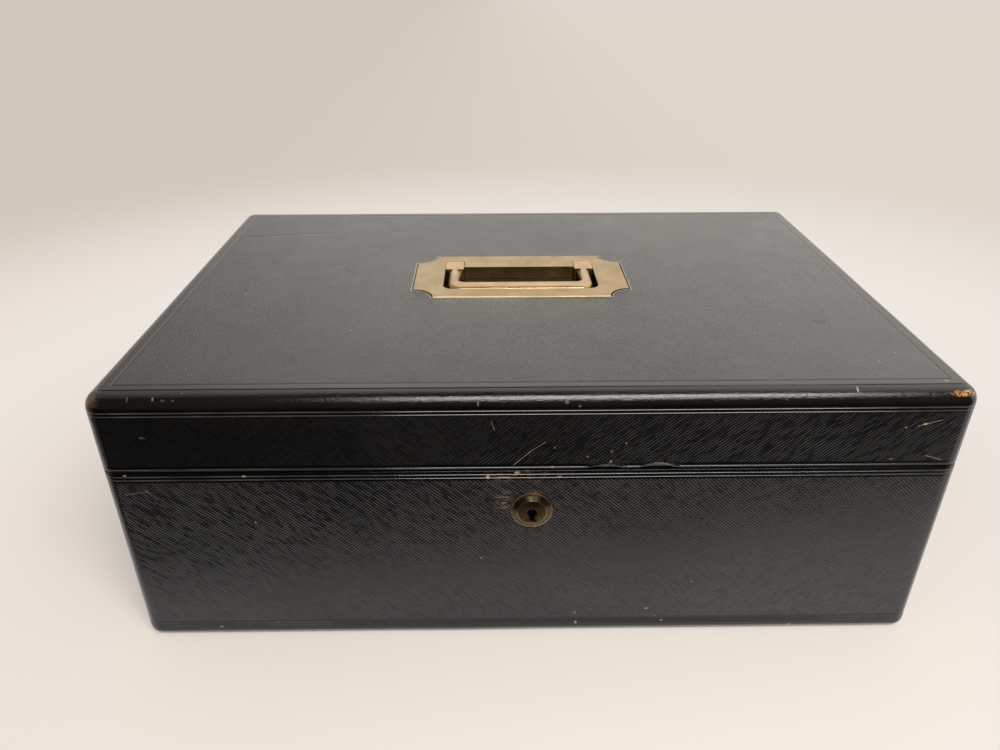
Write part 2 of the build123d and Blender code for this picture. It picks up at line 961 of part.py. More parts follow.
finish(
    lock_rod((0, 0), drill_pin_radius, nozzle_face + drill_pin_setback, lock_back),
    "lock_drill_pin",
)
finish(
    lock_rod(lever_pivot, lever_post_radius, lock_case_front, lock_cap_front),
    "lever_pivot_post",
)
finish(
    lock_rod(guide_stud_centre, guide_stud_radius, lock_case_front, bolt_back),
    "bolt_guide_stud",
)

# Bolt: a sliding plate with two fingers that catch the hooks of the lid
slot_half = guide_stud_radius + seam_clearance
with BuildSketch() as bolt_profile:
    add(box_profile(bolt_left, bolt_right, bolt_low, bolt_high))
    for left in hook_lefts:
        tip = left - finger_tip_clearance
        post_right = left - bolt_travel - seam_clearance
        add(
            box_profile(
                post_right - post_width, post_right, bolt_high, finger_low + finger_height
            )
        )
        add(box_profile(post_right, tip, finger_low, finger_low + finger_height))
    talon_middle = -bolt_travel / 2
    add(
        box_profile(
            talon_middle - talon_width / 2,
            talon_middle + talon_width / 2,
            bolt_low,
            bolt_low + talon_depth,
        ),
        mode=Mode.SUBTRACT,
    )
    with Locations((guide_stud_centre[0] - bolt_travel / 2, guide_stud_centre[1])):
        SlotCenterToCenter(bolt_travel, 2 * slot_half, mode=Mode.SUBTRACT)
with BuildPart() as lock_bolt:
    add(lock_slab(bolt_profile.sketch, bolt_front, bolt_back))
    add(
        lock_slab(
            box_profile(
                stump_centre[0] - stump_width / 2,
                stump_centre[0] + stump_width / 2,
                stump_centre[1] - stump_height / 2,
                stump_centre[1] + stump_height / 2,
            ),
            bolt_back,
            levers_back,
        )
    )
finish(lock_bolt.part, "lock_bolt")

# Levers, drawn lifted by the key: the bolt's stump stands in line with the gate
gate_low = stump_centre[1] - stump_height / 2 - lever_gate_clearance
gate_high = stump_centre[1] + stump_height / 2 + lever_gate_clearance
pocket_high = gate_high + lever_drop + lever_pocket_headroom
pocket_half = stump_width / 2 + lever_pocket_clearance
lever_left = stump_centre[0] - pocket_half - lever_nose
lever_right_of_pockets = stump_centre[0] + bolt_travel + pocket_half
lever_high = pocket_high + lever_metal_above
lever_low = gate_low - lever_metal_below
lever_neck = lever_right_of_pockets + lever_nose
hub_x, hub_z = lever_pivot
for i in range(lever_count):
    with BuildSketch() as lever_profile:
        with BuildLine():
            Polyline(
                (lever_left, lever_low),
                (lever_left, lever_high),
                (lever_neck, lever_high),
                (hub_x, hub_z + lever_hub_radius),
                (hub_x, hub_z - lever_hub_radius),
                (lever_neck, lever_low),
                close=True,
            )
        make_face()
        with Locations(lever_pivot):
            Circle(lever_hub_radius)
            Circle(lever_post_radius + running_clearance, mode=Mode.SUBTRACT)
        Circle(lever_belly_radii[i], mode=Mode.SUBTRACT)
        add(
            box_profile(
                stump_centre[0] - pocket_half, lever_right_of_pockets, gate_low, gate_high
            ),
            mode=Mode.SUBTRACT,
        )
        for x in (stump_centre[0], stump_centre[0] + bolt_travel):
            add(
                box_profile(x - pocket_half, x + pocket_half, gate_low, pocket_high),
                mode=Mode.SUBTRACT,
            )
    finish(
        lock_slab(
            lever_profile.sketch, lever_fronts[i], lever_fronts[i] + lever_thickness
        ),
        f"lock_lever_{i + 1}",
    )

# Lever springs: a thin strip from each lever up to the underside of the selvedge
top_slope = (lever_high - hub_z - lever_hub_radius) / (hub_x - lever_neck)
spring_foot_x = hub_x - spring_setback
spring_foot_z = hub_z + lever_hub_radius + top_slope * spring_setback
spring_tip_z = selvedge_low - spring_clearance - spring_thickness
spring_foot = (spring_foot_x, spring_foot_z + spring_clearance)
spring_tip = (hub_x + spring_tip_ahead, spring_tip_z)
with BuildSketch() as spring_profile:
    with BuildLine() as spring_line:
        lower = JernArc(
            start=spring_foot, tangent=(0, 1), radius=spring_radius, arc_size=-spring_bend
        )
        Line(lower @ 1, spring_tip)
    trace(spring_line.line, line_width=spring_thickness)
with BuildPart() as lever_springs:
    for front in lever_fronts:
        add(lock_slab(spring_profile.sketch, front, front + lever_thickness))
finish(lever_springs.part, "lever_springs")

# Hook plate of the lid
with BuildSketch() as hook_profile:
    for left in hook_lefts:
        add(box_profile(left, left + hook_width, hook_nose_low, lid_bottom - key_height))
        add(
            box_profile(
                left, left + hook_notch_depth, hook_notch_low, hook_notch_high
            ),
            mode=Mode.SUBTRACT,
        )
with BuildPart() as hook_plate:
    add(hook_plate_space)
    add(lock_slab(hook_profile.sketch, hook_front, hook_back))
    for plane in hook_screws:
        add(screw_hole(plane, lock_screw_length), mode=Mode.SUBTRACT)
finish(hook_plate.part, "hook_plate")

with BuildPart() as hook_plate_screws:
    for plane in hook_screws:
        add(countersunk_screw(plane, lock_screw_length))
finish(hook_plate_screws.part, "hook_plate_screws")

# Cuts for the handle's knuckles and keeper bar
opening_half = opening_width / 2
knuckle_inner = opening_half - knuckle_width
keeper_half = knuckle_inner - seam_clearance
keeper_low = plate_top - keeper_depth
keeper_face_rear = knuckle_rear
knuckle_floor = knuckle_pivot_depth + seam_clearance
with BuildPart() as knuckle_space:
    for x_side in (-1, 1):
        x_low = handle_centre[0] + min(x_side * knuckle_inner, x_side * opening_half)
        with BuildSketch(pivot_plane(x_low)):
            Circle(corner_sweep)
            with Locations((0, -knuckle_floor - corner_sweep / 2)):
                Rectangle(4 * corner_sweep, corner_sweep, mode=Mode.SUBTRACT)
        extrude(amount=knuckle_width)
        with BuildSketch(pivot_plane(x_low)):
            front = handle_centre[1] + opening_rear - cut_margin - pivot_y
            with BuildLine():
                Polyline(
                    (front, -knuckle_floor),
                    (0, -knuckle_floor),
                    (0, knuckle_pivot_depth + cut_margin),
                    (front, knuckle_pivot_depth + cut_margin),
                    close=True,
                )
            make_face()
        extrude(amount=knuckle_width)

# Handle plate
with BuildPart() as handle_plate:
    with BuildSketch(handle_plane(plate_low)):
        add(plate_outline(0))
        add(
            box_profile(-opening_half, opening_half, opening_front, opening_rear),
            mode=Mode.SUBTRACT,
        )
        add(
            box_profile(
                -knuckle_inner,
                knuckle_inner,
                opening_rear - cut_margin,
                keeper_face_rear + fixed_clearance,
            ),
            mode=Mode.SUBTRACT,
        )
    extrude(amount=plate_thickness)
    front_corners = (
        handle_plate.edges()
        .filter_by(Axis.Z)
        .filter_by(
            lambda e: abs(e.center().Y - handle_centre[1] - opening_front) < match_tolerance
            and abs(abs(e.center().X - handle_centre[0]) - opening_half) < match_tolerance
        )
    )
    fillet(front_corners, radius=opening_corner_radius)
    add(knuckle_space.part, mode=Mode.SUBTRACT)
finish(handle_plate.part, "handle_plate")

# Pan: a casting under the plate, hollowed for the bail
recess_floor = plate_top - recess_depth
with BuildPart() as handle_pan:
    with BuildSketch(handle_plane(pan_low)):
        add(box_profile(-pan_width / 2, pan_width / 2, pan_front, pan_rear))
    extrude(amount=plate_low - pan_low)
    with BuildSketch(handle_plane(recess_floor)):
        with Locations((0, (opening_front + opening_rear) / 2)):
            RectangleRounded(
                opening_width, opening_rear - opening_front, opening_corner_radius
            )
        add(
            box_profile(
                -opening_half,
                opening_half,
                opening_rear - opening_corner_radius,
                opening_rear,
            )
        )
    extrude(amount=recess_depth, mode=Mode.SUBTRACT)
    with BuildSketch(handle_plane(keeper_low)):
        add(box_profile(-knuckle_inner, knuckle_inner, opening_rear, pan_rear))
    extrude(amount=keeper_depth, mode=Mode.SUBTRACT)
    add(knuckle_space.part, mode=Mode.SUBTRACT)
    for x_side in (-1, 1):
        start = handle_centre[0] + x_side * (opening_half - cut_margin)
        end = handle_centre[0] + x_side * (opening_half + handle_pin_in_pan)
        add(
            rod_along_x(
                min(start, end),
                max(start, end),
                pivot_y,
                pivot_z,
                handle_pin_radius + fixed_clearance,
            ),
            mode=Mode.SUBTRACT,
        )
finish(handle_pan.part, "handle_pan")

# Keeper bar between the knuckles, under and level with the plate, holding the pins' inner ends
with BuildPart() as handle_keeper:
    with BuildSketch(handle_plane(keeper_low)):
        add(box_profile(-keeper_half, keeper_half, opening_rear, pan_rear))
    extrude(amount=plate_low - keeper_low)
    with BuildSketch(handle_plane(plate_low)):
        add(box_profile(-keeper_half, keeper_half, opening_rear, keeper_face_rear))
    extrude(amount=plate_thickness)
    for x_side in (-1, 1):
        start = handle_centre[0] + x_side * (knuckle_inner - handle_pin_in_keeper)
        end = handle_centre[0] + x_side * (knuckle_inner + cut_margin)
        add(
            rod_along_x(
                min(start, end),
                max(start, end),
                pivot_y,
                pivot_z,
                handle_pin_radius + fixed_clearance,
            ),
            mode=Mode.SUBTRACT,
        )
finish(handle_keeper.part, "handle_keeper")

# Pivot pins
with BuildPart() as handle_pins:
    for x_side in (-1, 1):
        start = handle_centre[0] + x_side * (knuckle_inner - handle_pin_in_keeper)
        end = handle_centre[0] + x_side * (opening_half + handle_pin_in_pan)
        add(
            rod_along_x(
                min(start, end), max(start, end), pivot_y, pivot_z, handle_pin_radius
            )
        )
finish(handle_pins.part, "handle_pins")

# Bail: a rounded flat loop, with square knuckles that fold flush with the plate
arm_outer = opening_half - bail_side_gap
arm_inner = arm_outer - bail_arm_width
grip_front = bail_grip_centre - bail_grip_width / 2
grip_rear = bail_grip_centre + bail_grip_width / 2
arm_end = opening_rear - bail_edge_radius
bail_top = plate_top - bail_below_plate
with BuildPart() as handle_bail:
    with BuildSketch(handle_plane(bail_top - bail_thickness)) as bail_outline:
        add(box_profile(-arm_outer, arm_outer, grip_front, arm_end))
        fillet(
            bail_outline.vertices().group_by(Axis.Y)[0],
            radius=bail_outer_radius,
        )
        with BuildSketch(mode=Mode.SUBTRACT) as bail_inside:
            add(box_profile(-arm_inner, arm_inner, grip_rear, arm_end + cut_margin))
            fillet(
                bail_inside.vertices().group_by(Axis.Y)[0],
                radius=bail_inner_radius,
            )
    extrude(amount=bail_thickness)
    long_edges = (
        handle_bail.faces().sort_by(Axis.Z)[-1].edges()
        + handle_bail.faces().sort_by(Axis.Z)[0].edges()
    )
    fillet(
        long_edges.filter_by(
            lambda e: abs(e.center().Y - handle_centre[1] - arm_end) > match_tolerance
        ),
        radius=bail_edge_radius,
    )
    for x_side in (-1, 1):
        block_inner = knuckle_inner + seam_clearance
        block_outer = opening_half - seam_clearance
        x_low = handle_centre[0] + min(x_side * block_inner, x_side * block_outer)
        with BuildSketch(pivot_plane(x_low)):
            depth = knuckle_pivot_depth
            front = handle_centre[1] + opening_rear - pivot_y
            neck = handle_centre[1] + arm_end - pivot_y
            with BuildLine():
                Polyline(
                    (0, -depth),
                    (neck, bail_top - bail_thickness - pivot_z),
                    (neck, bail_top - pivot_z),
                    (front, depth),
                    (depth, depth),
                    (depth, 0),
                )
                RadiusArc((depth, 0), (0, -depth), depth)
            make_face()
        extrude(amount=block_outer - block_inner)
    add(
        rod_along_x(
            handle_centre[0] - opening_half,
            handle_centre[0] + opening_half,
            pivot_y,
            pivot_z,
            handle_pin_radius + running_clearance,
        ),
        mode=Mode.SUBTRACT,
    )
finish(handle_bail.part, "handle_bail")

# Studs under the plate, and the nuts that draw it down from inside the lid
nut_high = lid_walls_high + nut_pocket_height
stud_low = nut_high - nut_thickness
with BuildPart() as handle_studs:
    with BuildSketch(handle_plane(stud_low)):
        with GridLocations(2 * stud_places[0], 2 * stud_places[1], 2, 2):
            Circle(stud_radius)
    extrude(amount=plate_low - stud_low)
finish(handle_studs.part, "handle_studs")

with BuildPart() as handle_nuts:
    with BuildSketch(handle_plane(stud_low)):
        with GridLocations(2 * stud_places[0], 2 * stud_places[1], 2, 2):
            RegularPolygon(nut_radius, 4)
            Circle(stud_radius + fixed_clearance, mode=Mode.SUBTRACT)
    extrude(amount=nut_thickness)
finish(handle_nuts.part, "handle_nuts")
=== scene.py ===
"""Dispatch box: its leather, brass, wood and linings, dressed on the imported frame."""

import bmesh
import bpy
from math import asin, cos, hypot, pi, radians, sin, tan
from mathutils import Matrix, Vector, noise


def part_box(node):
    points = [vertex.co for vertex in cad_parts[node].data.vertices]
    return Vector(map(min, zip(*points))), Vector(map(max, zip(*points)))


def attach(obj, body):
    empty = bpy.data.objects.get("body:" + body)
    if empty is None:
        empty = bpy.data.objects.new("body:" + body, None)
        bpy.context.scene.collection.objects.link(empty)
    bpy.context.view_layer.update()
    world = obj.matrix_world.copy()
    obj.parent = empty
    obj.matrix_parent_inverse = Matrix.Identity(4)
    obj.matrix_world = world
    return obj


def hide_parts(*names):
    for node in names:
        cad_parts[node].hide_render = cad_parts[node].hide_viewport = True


bl_info = {
    "name": "Dispatch Box",
    "version": (1, 0, 0),
    "blender": (4, 5, 0),
    "location": "View3D > Sidebar > Dispatch Box",
    "description": "Dresses a leather dispatch box with its brass handle, lock and linings",
    "category": "Add Mesh",
}

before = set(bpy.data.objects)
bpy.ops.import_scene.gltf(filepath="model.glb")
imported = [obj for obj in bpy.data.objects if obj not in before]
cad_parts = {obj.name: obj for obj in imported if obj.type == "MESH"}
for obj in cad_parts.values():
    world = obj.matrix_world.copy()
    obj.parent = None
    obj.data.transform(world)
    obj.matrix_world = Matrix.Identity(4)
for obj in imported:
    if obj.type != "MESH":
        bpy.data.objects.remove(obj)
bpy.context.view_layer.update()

MM = 0.001


# Places read from the frame


def node_box(node):
    """Lowest and highest corner of a node, as two vectors in metres."""
    low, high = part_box(node)
    return Vector(low), Vector(high)


def mm(x, y, z):
    """A point or a size given in millimetres."""
    return Vector((x, y, z)) * MM


LID_LOW, LID_HIGH = node_box("lid_cover")
BASE_LOW, BASE_HIGH = node_box("base_cover")
PLATE_LOW, PLATE_HIGH = node_box("handle_plate")
PLATE_MIDDLE = (PLATE_LOW + PLATE_HIGH) / 2
PLATE_HALF = (PLATE_HIGH - PLATE_LOW) / 2
NOZZLE_LOW, NOZZLE_HIGH = node_box("lock_nozzle")
NOZZLE_MIDDLE = (NOZZLE_LOW + NOZZLE_HIGH) / 2
HALF_WIDTH = LID_HIGH.x
HALF_DEPTH = LID_HIGH.y

# Radius of the plate's hollow corners, and the gap between the leather and its long sides
HOLLOW_RADIUS = 10.5 * MM
PLATE_END_GAP = 0.12 * MM

# Tooled lines: distance of the upright ones from an upright edge, distances of the two frames on top
# from the lid's sides, and how much deeper the frames are
UPRIGHT_LINE = 5.0 * MM
TOP_LINES = (5.9 * MM, 9.9 * MM)
TOP_DEPTH_SHARE = 1.7

# Share of a tooled line's width that each of its walls takes, on the sides and on top
SIDE_WALL = 0.2
TOP_WALL = 0.4

# Two places where the leather has lifted off the lid's front rim: middle, half width and height in mm
LIFTS = ((30, 8, 2.0), (52, 9, 2.5))
LIFT_REACH = 12 * MM
LIFT_PROUD = 0.5 * MM


# Settings that a user would change


def length_setting(name, description, default):
    """A size in metres."""
    return bpy.props.FloatProperty(name=name, description=description, default=default, unit="LENGTH")


def colour_setting(name, description, default):
    """A colour."""
    return bpy.props.FloatVectorProperty(
        name=name, description=description, default=default, subtype="COLOR", size=3
    )


class LeatherSettings(bpy.types.PropertyGroup):
    """Sizes and colours of the leather cover."""

    corner_radius: length_setting(
        "Corner radius", "Radius of the upright corners and of the lid's top roll", 7.2 * MM
    )
    foot_radius: length_setting("Foot radius", "Radius of the base's lower edge", 4.0 * MM)
    rim_radius: length_setting("Rim radius", "Radius of the leather where it turns over a rim", 0.8 * MM)
    thickness: length_setting("Thickness", "Thickness of the leather", 1.2 * MM)
    line_width: length_setting("Line width", "Width of a tooled line at the surface", 0.8 * MM)
    line_depth: length_setting("Line depth", "Depth of a tooled line on the sides", 0.14 * MM)
    mesh_pitch: length_setting("Mesh pitch", "Distance between the cuts of the leather's mesh", 4.0 * MM)
    unevenness: length_setting("Unevenness", "How far the leather lies off a true plane", 0.16 * MM)
    grain_pitch: length_setting(
        "Grain pitch", "Distance between the lines of the straight grain", 1.2 * MM
    )
    grain_depth: length_setting("Grain depth", "Height of the ribs of the straight grain", 0.19 * MM)
    plate_gap: length_setting(
        "Plate gap", "Gap between the leather and each end of the handle plate", 0.9 * MM
    )
    colour: colour_setting("Colour", "Colour of the black dye", (0.0013, 0.0012, 0.0013))
    worn_colour: colour_setting(
        "Worn colour", "Colour where the dye has rubbed off an edge", (0.12, 0.062, 0.03)
    )
    bare_colour: colour_setting(
        "Bare colour", "Colour of the bare hide at the worst corner", (0.46, 0.2, 0.07)
    )
    cut_colour: colour_setting(
        "Cut colour", "Colour of the leather's cut edge round the handle plate", (0.5, 0.44, 0.36)
    )


class BrassSettings(bpy.types.PropertyGroup):
    """Sizes and colours of the brass fittings."""

    edge_radius: length_setting(
        "Edge radius", "Radius of the worn edges of the handle's plate", 0.32 * MM
    )
    colour: colour_setting("Handle brass", "Colour of the handle's worn brass", (0.325, 0.236, 0.122))
    tarnish: colour_setting(
        "Tarnish", "Colour of the tarnish in hollows and patches", (0.11, 0.062, 0.026)
    )
    lock_colour: colour_setting("Lock brass", "Colour of the lock's darkened brass", (0.2, 0.135, 0.07))


class InsideSettings(bpy.types.PropertyGroup):
    """Colours of the pieces that show when the box is open."""

    wood_colour: colour_setting("Wood", "Colour of the carcass wood", (0.42, 0.25, 0.12))
    lining_colour: colour_setting("Lining", "Colour of the lining paper", (0.03, 0.085, 0.055))
    steel_colour: colour_setting("Steel", "Colour of pins and springs", (0.42, 0.4, 0.38))


class StageSettings(bpy.types.PropertyGroup):
    """Floor, light and camera."""

    floor_colour: colour_setting("Floor", "Colour of the floor near the box", (0.865, 0.815, 0.76))
    # The middle and far floor colours glow; their differences paint the light falling off to the left and
    # with distance
    near_left_colour: colour_setting(
        "Middle floor, left", "Colour of the floor beside the box on the left", (0.85, 0.785, 0.725)
    )
    near_right_colour: colour_setting(
        "Middle floor, right", "Colour of the floor beside the box on the right", (0.865, 0.812, 0.758)
    )
    far_left_colour: colour_setting(
        "Far floor, left", "Colour of the far floor on the left", (0.64, 0.57, 0.5)
    )
    far_right_colour: colour_setting(
        "Far floor, right", "Colour of the far floor on the right", (0.745, 0.68, 0.605)
    )
    lamp_power: bpy.props.FloatProperty(
        name="Lamp power",
        description="Power of the ceiling panel above and in front of the box",
        default=12.0,
        unit="POWER",
    )
    ambient: bpy.props.FloatProperty(
        name="Ambient", description="Strength of the even light from all round", default=0.38
    )
    camera_place: bpy.props.FloatVectorProperty(
        name="Camera",
        description="Place of the camera",
        subtype="TRANSLATION",
        unit="LENGTH",
        size=3,
        default=(-0.01638, -0.37849, 0.28047),
    )
    camera_turn: bpy.props.FloatVectorProperty(
        name="Camera turn",
        description="Angles of the camera",
        subtype="EULER",
        size=3,
        default=(radians(61.1), radians(0.1), radians(-0.732)),
    )
    lens: bpy.props.FloatProperty(
        name="Lens", description="Focal length on a 36 mm wide sensor", default=27.66
    )


def settings(name):
    """A group of this scene's settings."""
    return getattr(bpy.context.scene, "dispatch_box_" + name)


# Nodes of a material or of the world


class Value:
    """What a node gives. Sums of numbers or of vectors are written with plain signs."""

    def __init__(self, nodes, socket):
        self.nodes = nodes
        self.socket = socket

    def sum(self, operation, first, second=None):
        """A number from numbers, or a vector from vectors."""
        kind = "ShaderNodeMath" if self.socket.type == "VALUE" else "ShaderNodeVectorMath"
        return self.nodes.make(kind, {0: first, 1: second}, operation=operation)

    def __add__(self, other):
        return self.sum("ADD", self, other)

    def __sub__(self, other):
        return self.sum("SUBTRACT", self, other)

    def __rsub__(self, other):
        return self.sum("SUBTRACT", other, self)

    def __mul__(self, other):
        return self.sum("MULTIPLY", self, other)

    def __truediv__(self, other):
        return self.sum("DIVIDE", self, other)

    def __pow__(self, other):
        return self.sum("POWER", self, other)

    def __abs__(self):
        return self.sum("ABSOLUTE", self)

    def sine(self):
        """Sine of a number."""
        return self.sum("SINE", self)

    def fraction(self):
        """What is left of a number past its whole part."""
        return self.sum("FRACT", self)

    def clamped(self):
        """The same number, kept between 0 and 1."""
        self.socket.node.use_clamp = True
        return self

    def ease(self, low, high, start=0.0, end=1.0):
        """Turns low..high smoothly into start..end."""
        values = dict(enumerate((self, low, high, start, end)))
        return self.nodes.make("ShaderNodeMapRange", values, interpolation_type="SMOOTHSTEP")

    def dot(self, other):
        """How far a vector reaches along another."""
        return self.nodes.make("ShaderNodeVectorMath", {0: self, 1: other}, "Value", operation="DOT_PRODUCT")

    def length(self):
        """Length of a vector."""
        return self.nodes.make("ShaderNodeVectorMath", {0: self}, "Value", operation="LENGTH")

    def parts(self):
        """The three parts of a vector."""
        outputs = self.nodes.make("ShaderNodeSeparateXYZ", {0: self}).socket.node.outputs
        return [Value(self.nodes, output) for output in outputs]

    def cloud(self, scale, detail=2.0, roughness=0.5, distortion=0.0):
        """Soft noise between 0 and 1 at a place."""
        values = {"Vector": self, "Scale": scale, "Detail": detail}
        values.update({"Roughness": roughness, "Distortion": distortion})
        return self.nodes.make("ShaderNodeTexNoise", values)

    def cells(self, scale, feature="F1"):
        """Distance from a place to scattered points."""
        return self.nodes.make("ShaderNodeTexVoronoi", {"Vector": self, "Scale": scale}, feature=feature)

    def near_line(self, start, end, width):
        """1 on the straight line between two points, falling to 0 at its width."""
        way = end - start
        offset = self - start
        share = (offset.dot(way / way.length_squared) + 0.0).clamped()
        foot = self.nodes.joined(share, share, share) * way
        return (offset - foot).length().ease(width, 0.3 * width)

    def oval(self, centre, sizes):
        """1 in the middle of an oval, falling to 0 at its rim."""
        offset = (self - centre) * [1 / size for size in sizes]
        return offset.length().ease(1.0, 0.35)


class Nodes:
    """The nodes of a material or of a world."""

    def __init__(self, owner):
        owner.use_nodes = True
        self.tree = owner.node_tree
        self.tree.nodes.clear()

    def feed(self, socket, value):
        """Links a socket to another node, or gives it a number, a vector or a colour."""
        if isinstance(value, Value):
            self.tree.links.new(value.socket, socket)
        elif isinstance(value, (int, float)):
            socket.default_value = value
        elif value is not None:
            value = tuple(value)
            socket.default_value = (*value, 1.0) if socket.type == "RGBA" else value

    def make(self, kind, values=(), output=0, **choices):
        """Adds a node, makes its choices, feeds its inputs and hands back what it gives."""
        node = self.tree.nodes.new(kind)
        node.location = (len(self.tree.nodes) * 60, 0)
        for name, choice in choices.items():
            setattr(node, name, choice)
        for name, value in dict(values).items():
            self.feed(node.inputs[name], value)
        return Value(self, node.outputs[output])

    def end(self, kind, surface):
        """Links the last shader to an output."""
        self.feed(self.tree.nodes.new(kind).inputs["Surface"], surface)

    def place(self):
        """Object coordinates, in metres."""
        return self.make("ShaderNodeTexCoord", output="Object")

    def joined(self, x, y, z):
        """A vector from three numbers."""
        return self.make("ShaderNodeCombineXYZ", {0: x, 1: y, 2: z})

    def most(self, first, *others):
        """The largest of some numbers."""
        for other in others:
            first = self.make("ShaderNodeMath", {0: first, 1: other}, operation="MAXIMUM")
        return first

    def least(self, first, *others):
        """The smallest of some numbers."""
        for other in others:
            first = self.make("ShaderNodeMath", {0: first, 1: other}, operation="MINIMUM")
        return first

    def blend(self, share, first, second):
        """A colour between two colours."""
        return self.make("ShaderNodeMix", {0: share, 6: first, 7: second}, 2, data_type="RGBA")

    def mixed(self, share, first, second):
        """A shader between two shaders."""
        return self.make("ShaderNodeMixShader", {0: share, 1: first, 2: second})

    def ray(self, kind):
        """1 for rays of one kind, 0 for others."""
        return self.make("ShaderNodeLightPath", output=f"Is {kind} Ray")


class Finish(Nodes):
    """One material with a principled shader."""

    def __init__(self, name):
        self.material = bpy.data.materials.new(name)
        super().__init__(self.material)

    def close(self, colour, roughness, height, *more):
        """Feeds the shader its colour, roughness, relief in millimetres and other named sockets."""
        relief = self.make("ShaderNodeBump", {"Strength": 1.0, "Distance": MM, "Height": height})
        sockets = {"Base Color": colour, "Roughness": roughness, "Normal": relief, **dict(more)}
        self.end("ShaderNodeOutputMaterial", self.make("ShaderNodeBsdfPrincipled", sockets))
        return self.material


# Leather


def lid_levels():
    """Heights of the tooled lines round the lid."""
    return [LID_HIGH.z - 7.1 * MM, LID_HIGH.z - 8.7 * MM, LID_LOW.z + 1.4 * MM]


def base_levels():
    """Heights of the tooled lines round the base."""
    return [BASE_HIGH.z - 1.6 * MM, BASE_HIGH.z - 3.3 * MM, BASE_LOW.z + 7.7 * MM, BASE_LOW.z + 6.1 * MM]


def grain_ribs(finish, flat, angle, pitch, seed):
    """Straight ribs of grain that waver a little, at an angle to the map's first axis, from 0 to 1."""
    u = flat.dot((cos(angle), sin(angle), 0))
    v = flat.dot((-sin(angle), cos(angle), 0))
    seeded = finish.joined(u, v, seed)
    wobble = seeded.cloud(22.0, 1.0) * 10.0 + seeded.cloud(130.0, 1.0) * 3.2
    phase = u * (2 * pi / pitch) + wobble
    wave = ((phase.sine() + 1.0) * 0.5) ** 2.5
    breaks = finish.joined(u / (0.8 * pitch), v / (4.5 * pitch), seed).cloud(1.0, 1.5)
    return wave * breaks.ease(0.3, 0.6, 0.35, 1.0)


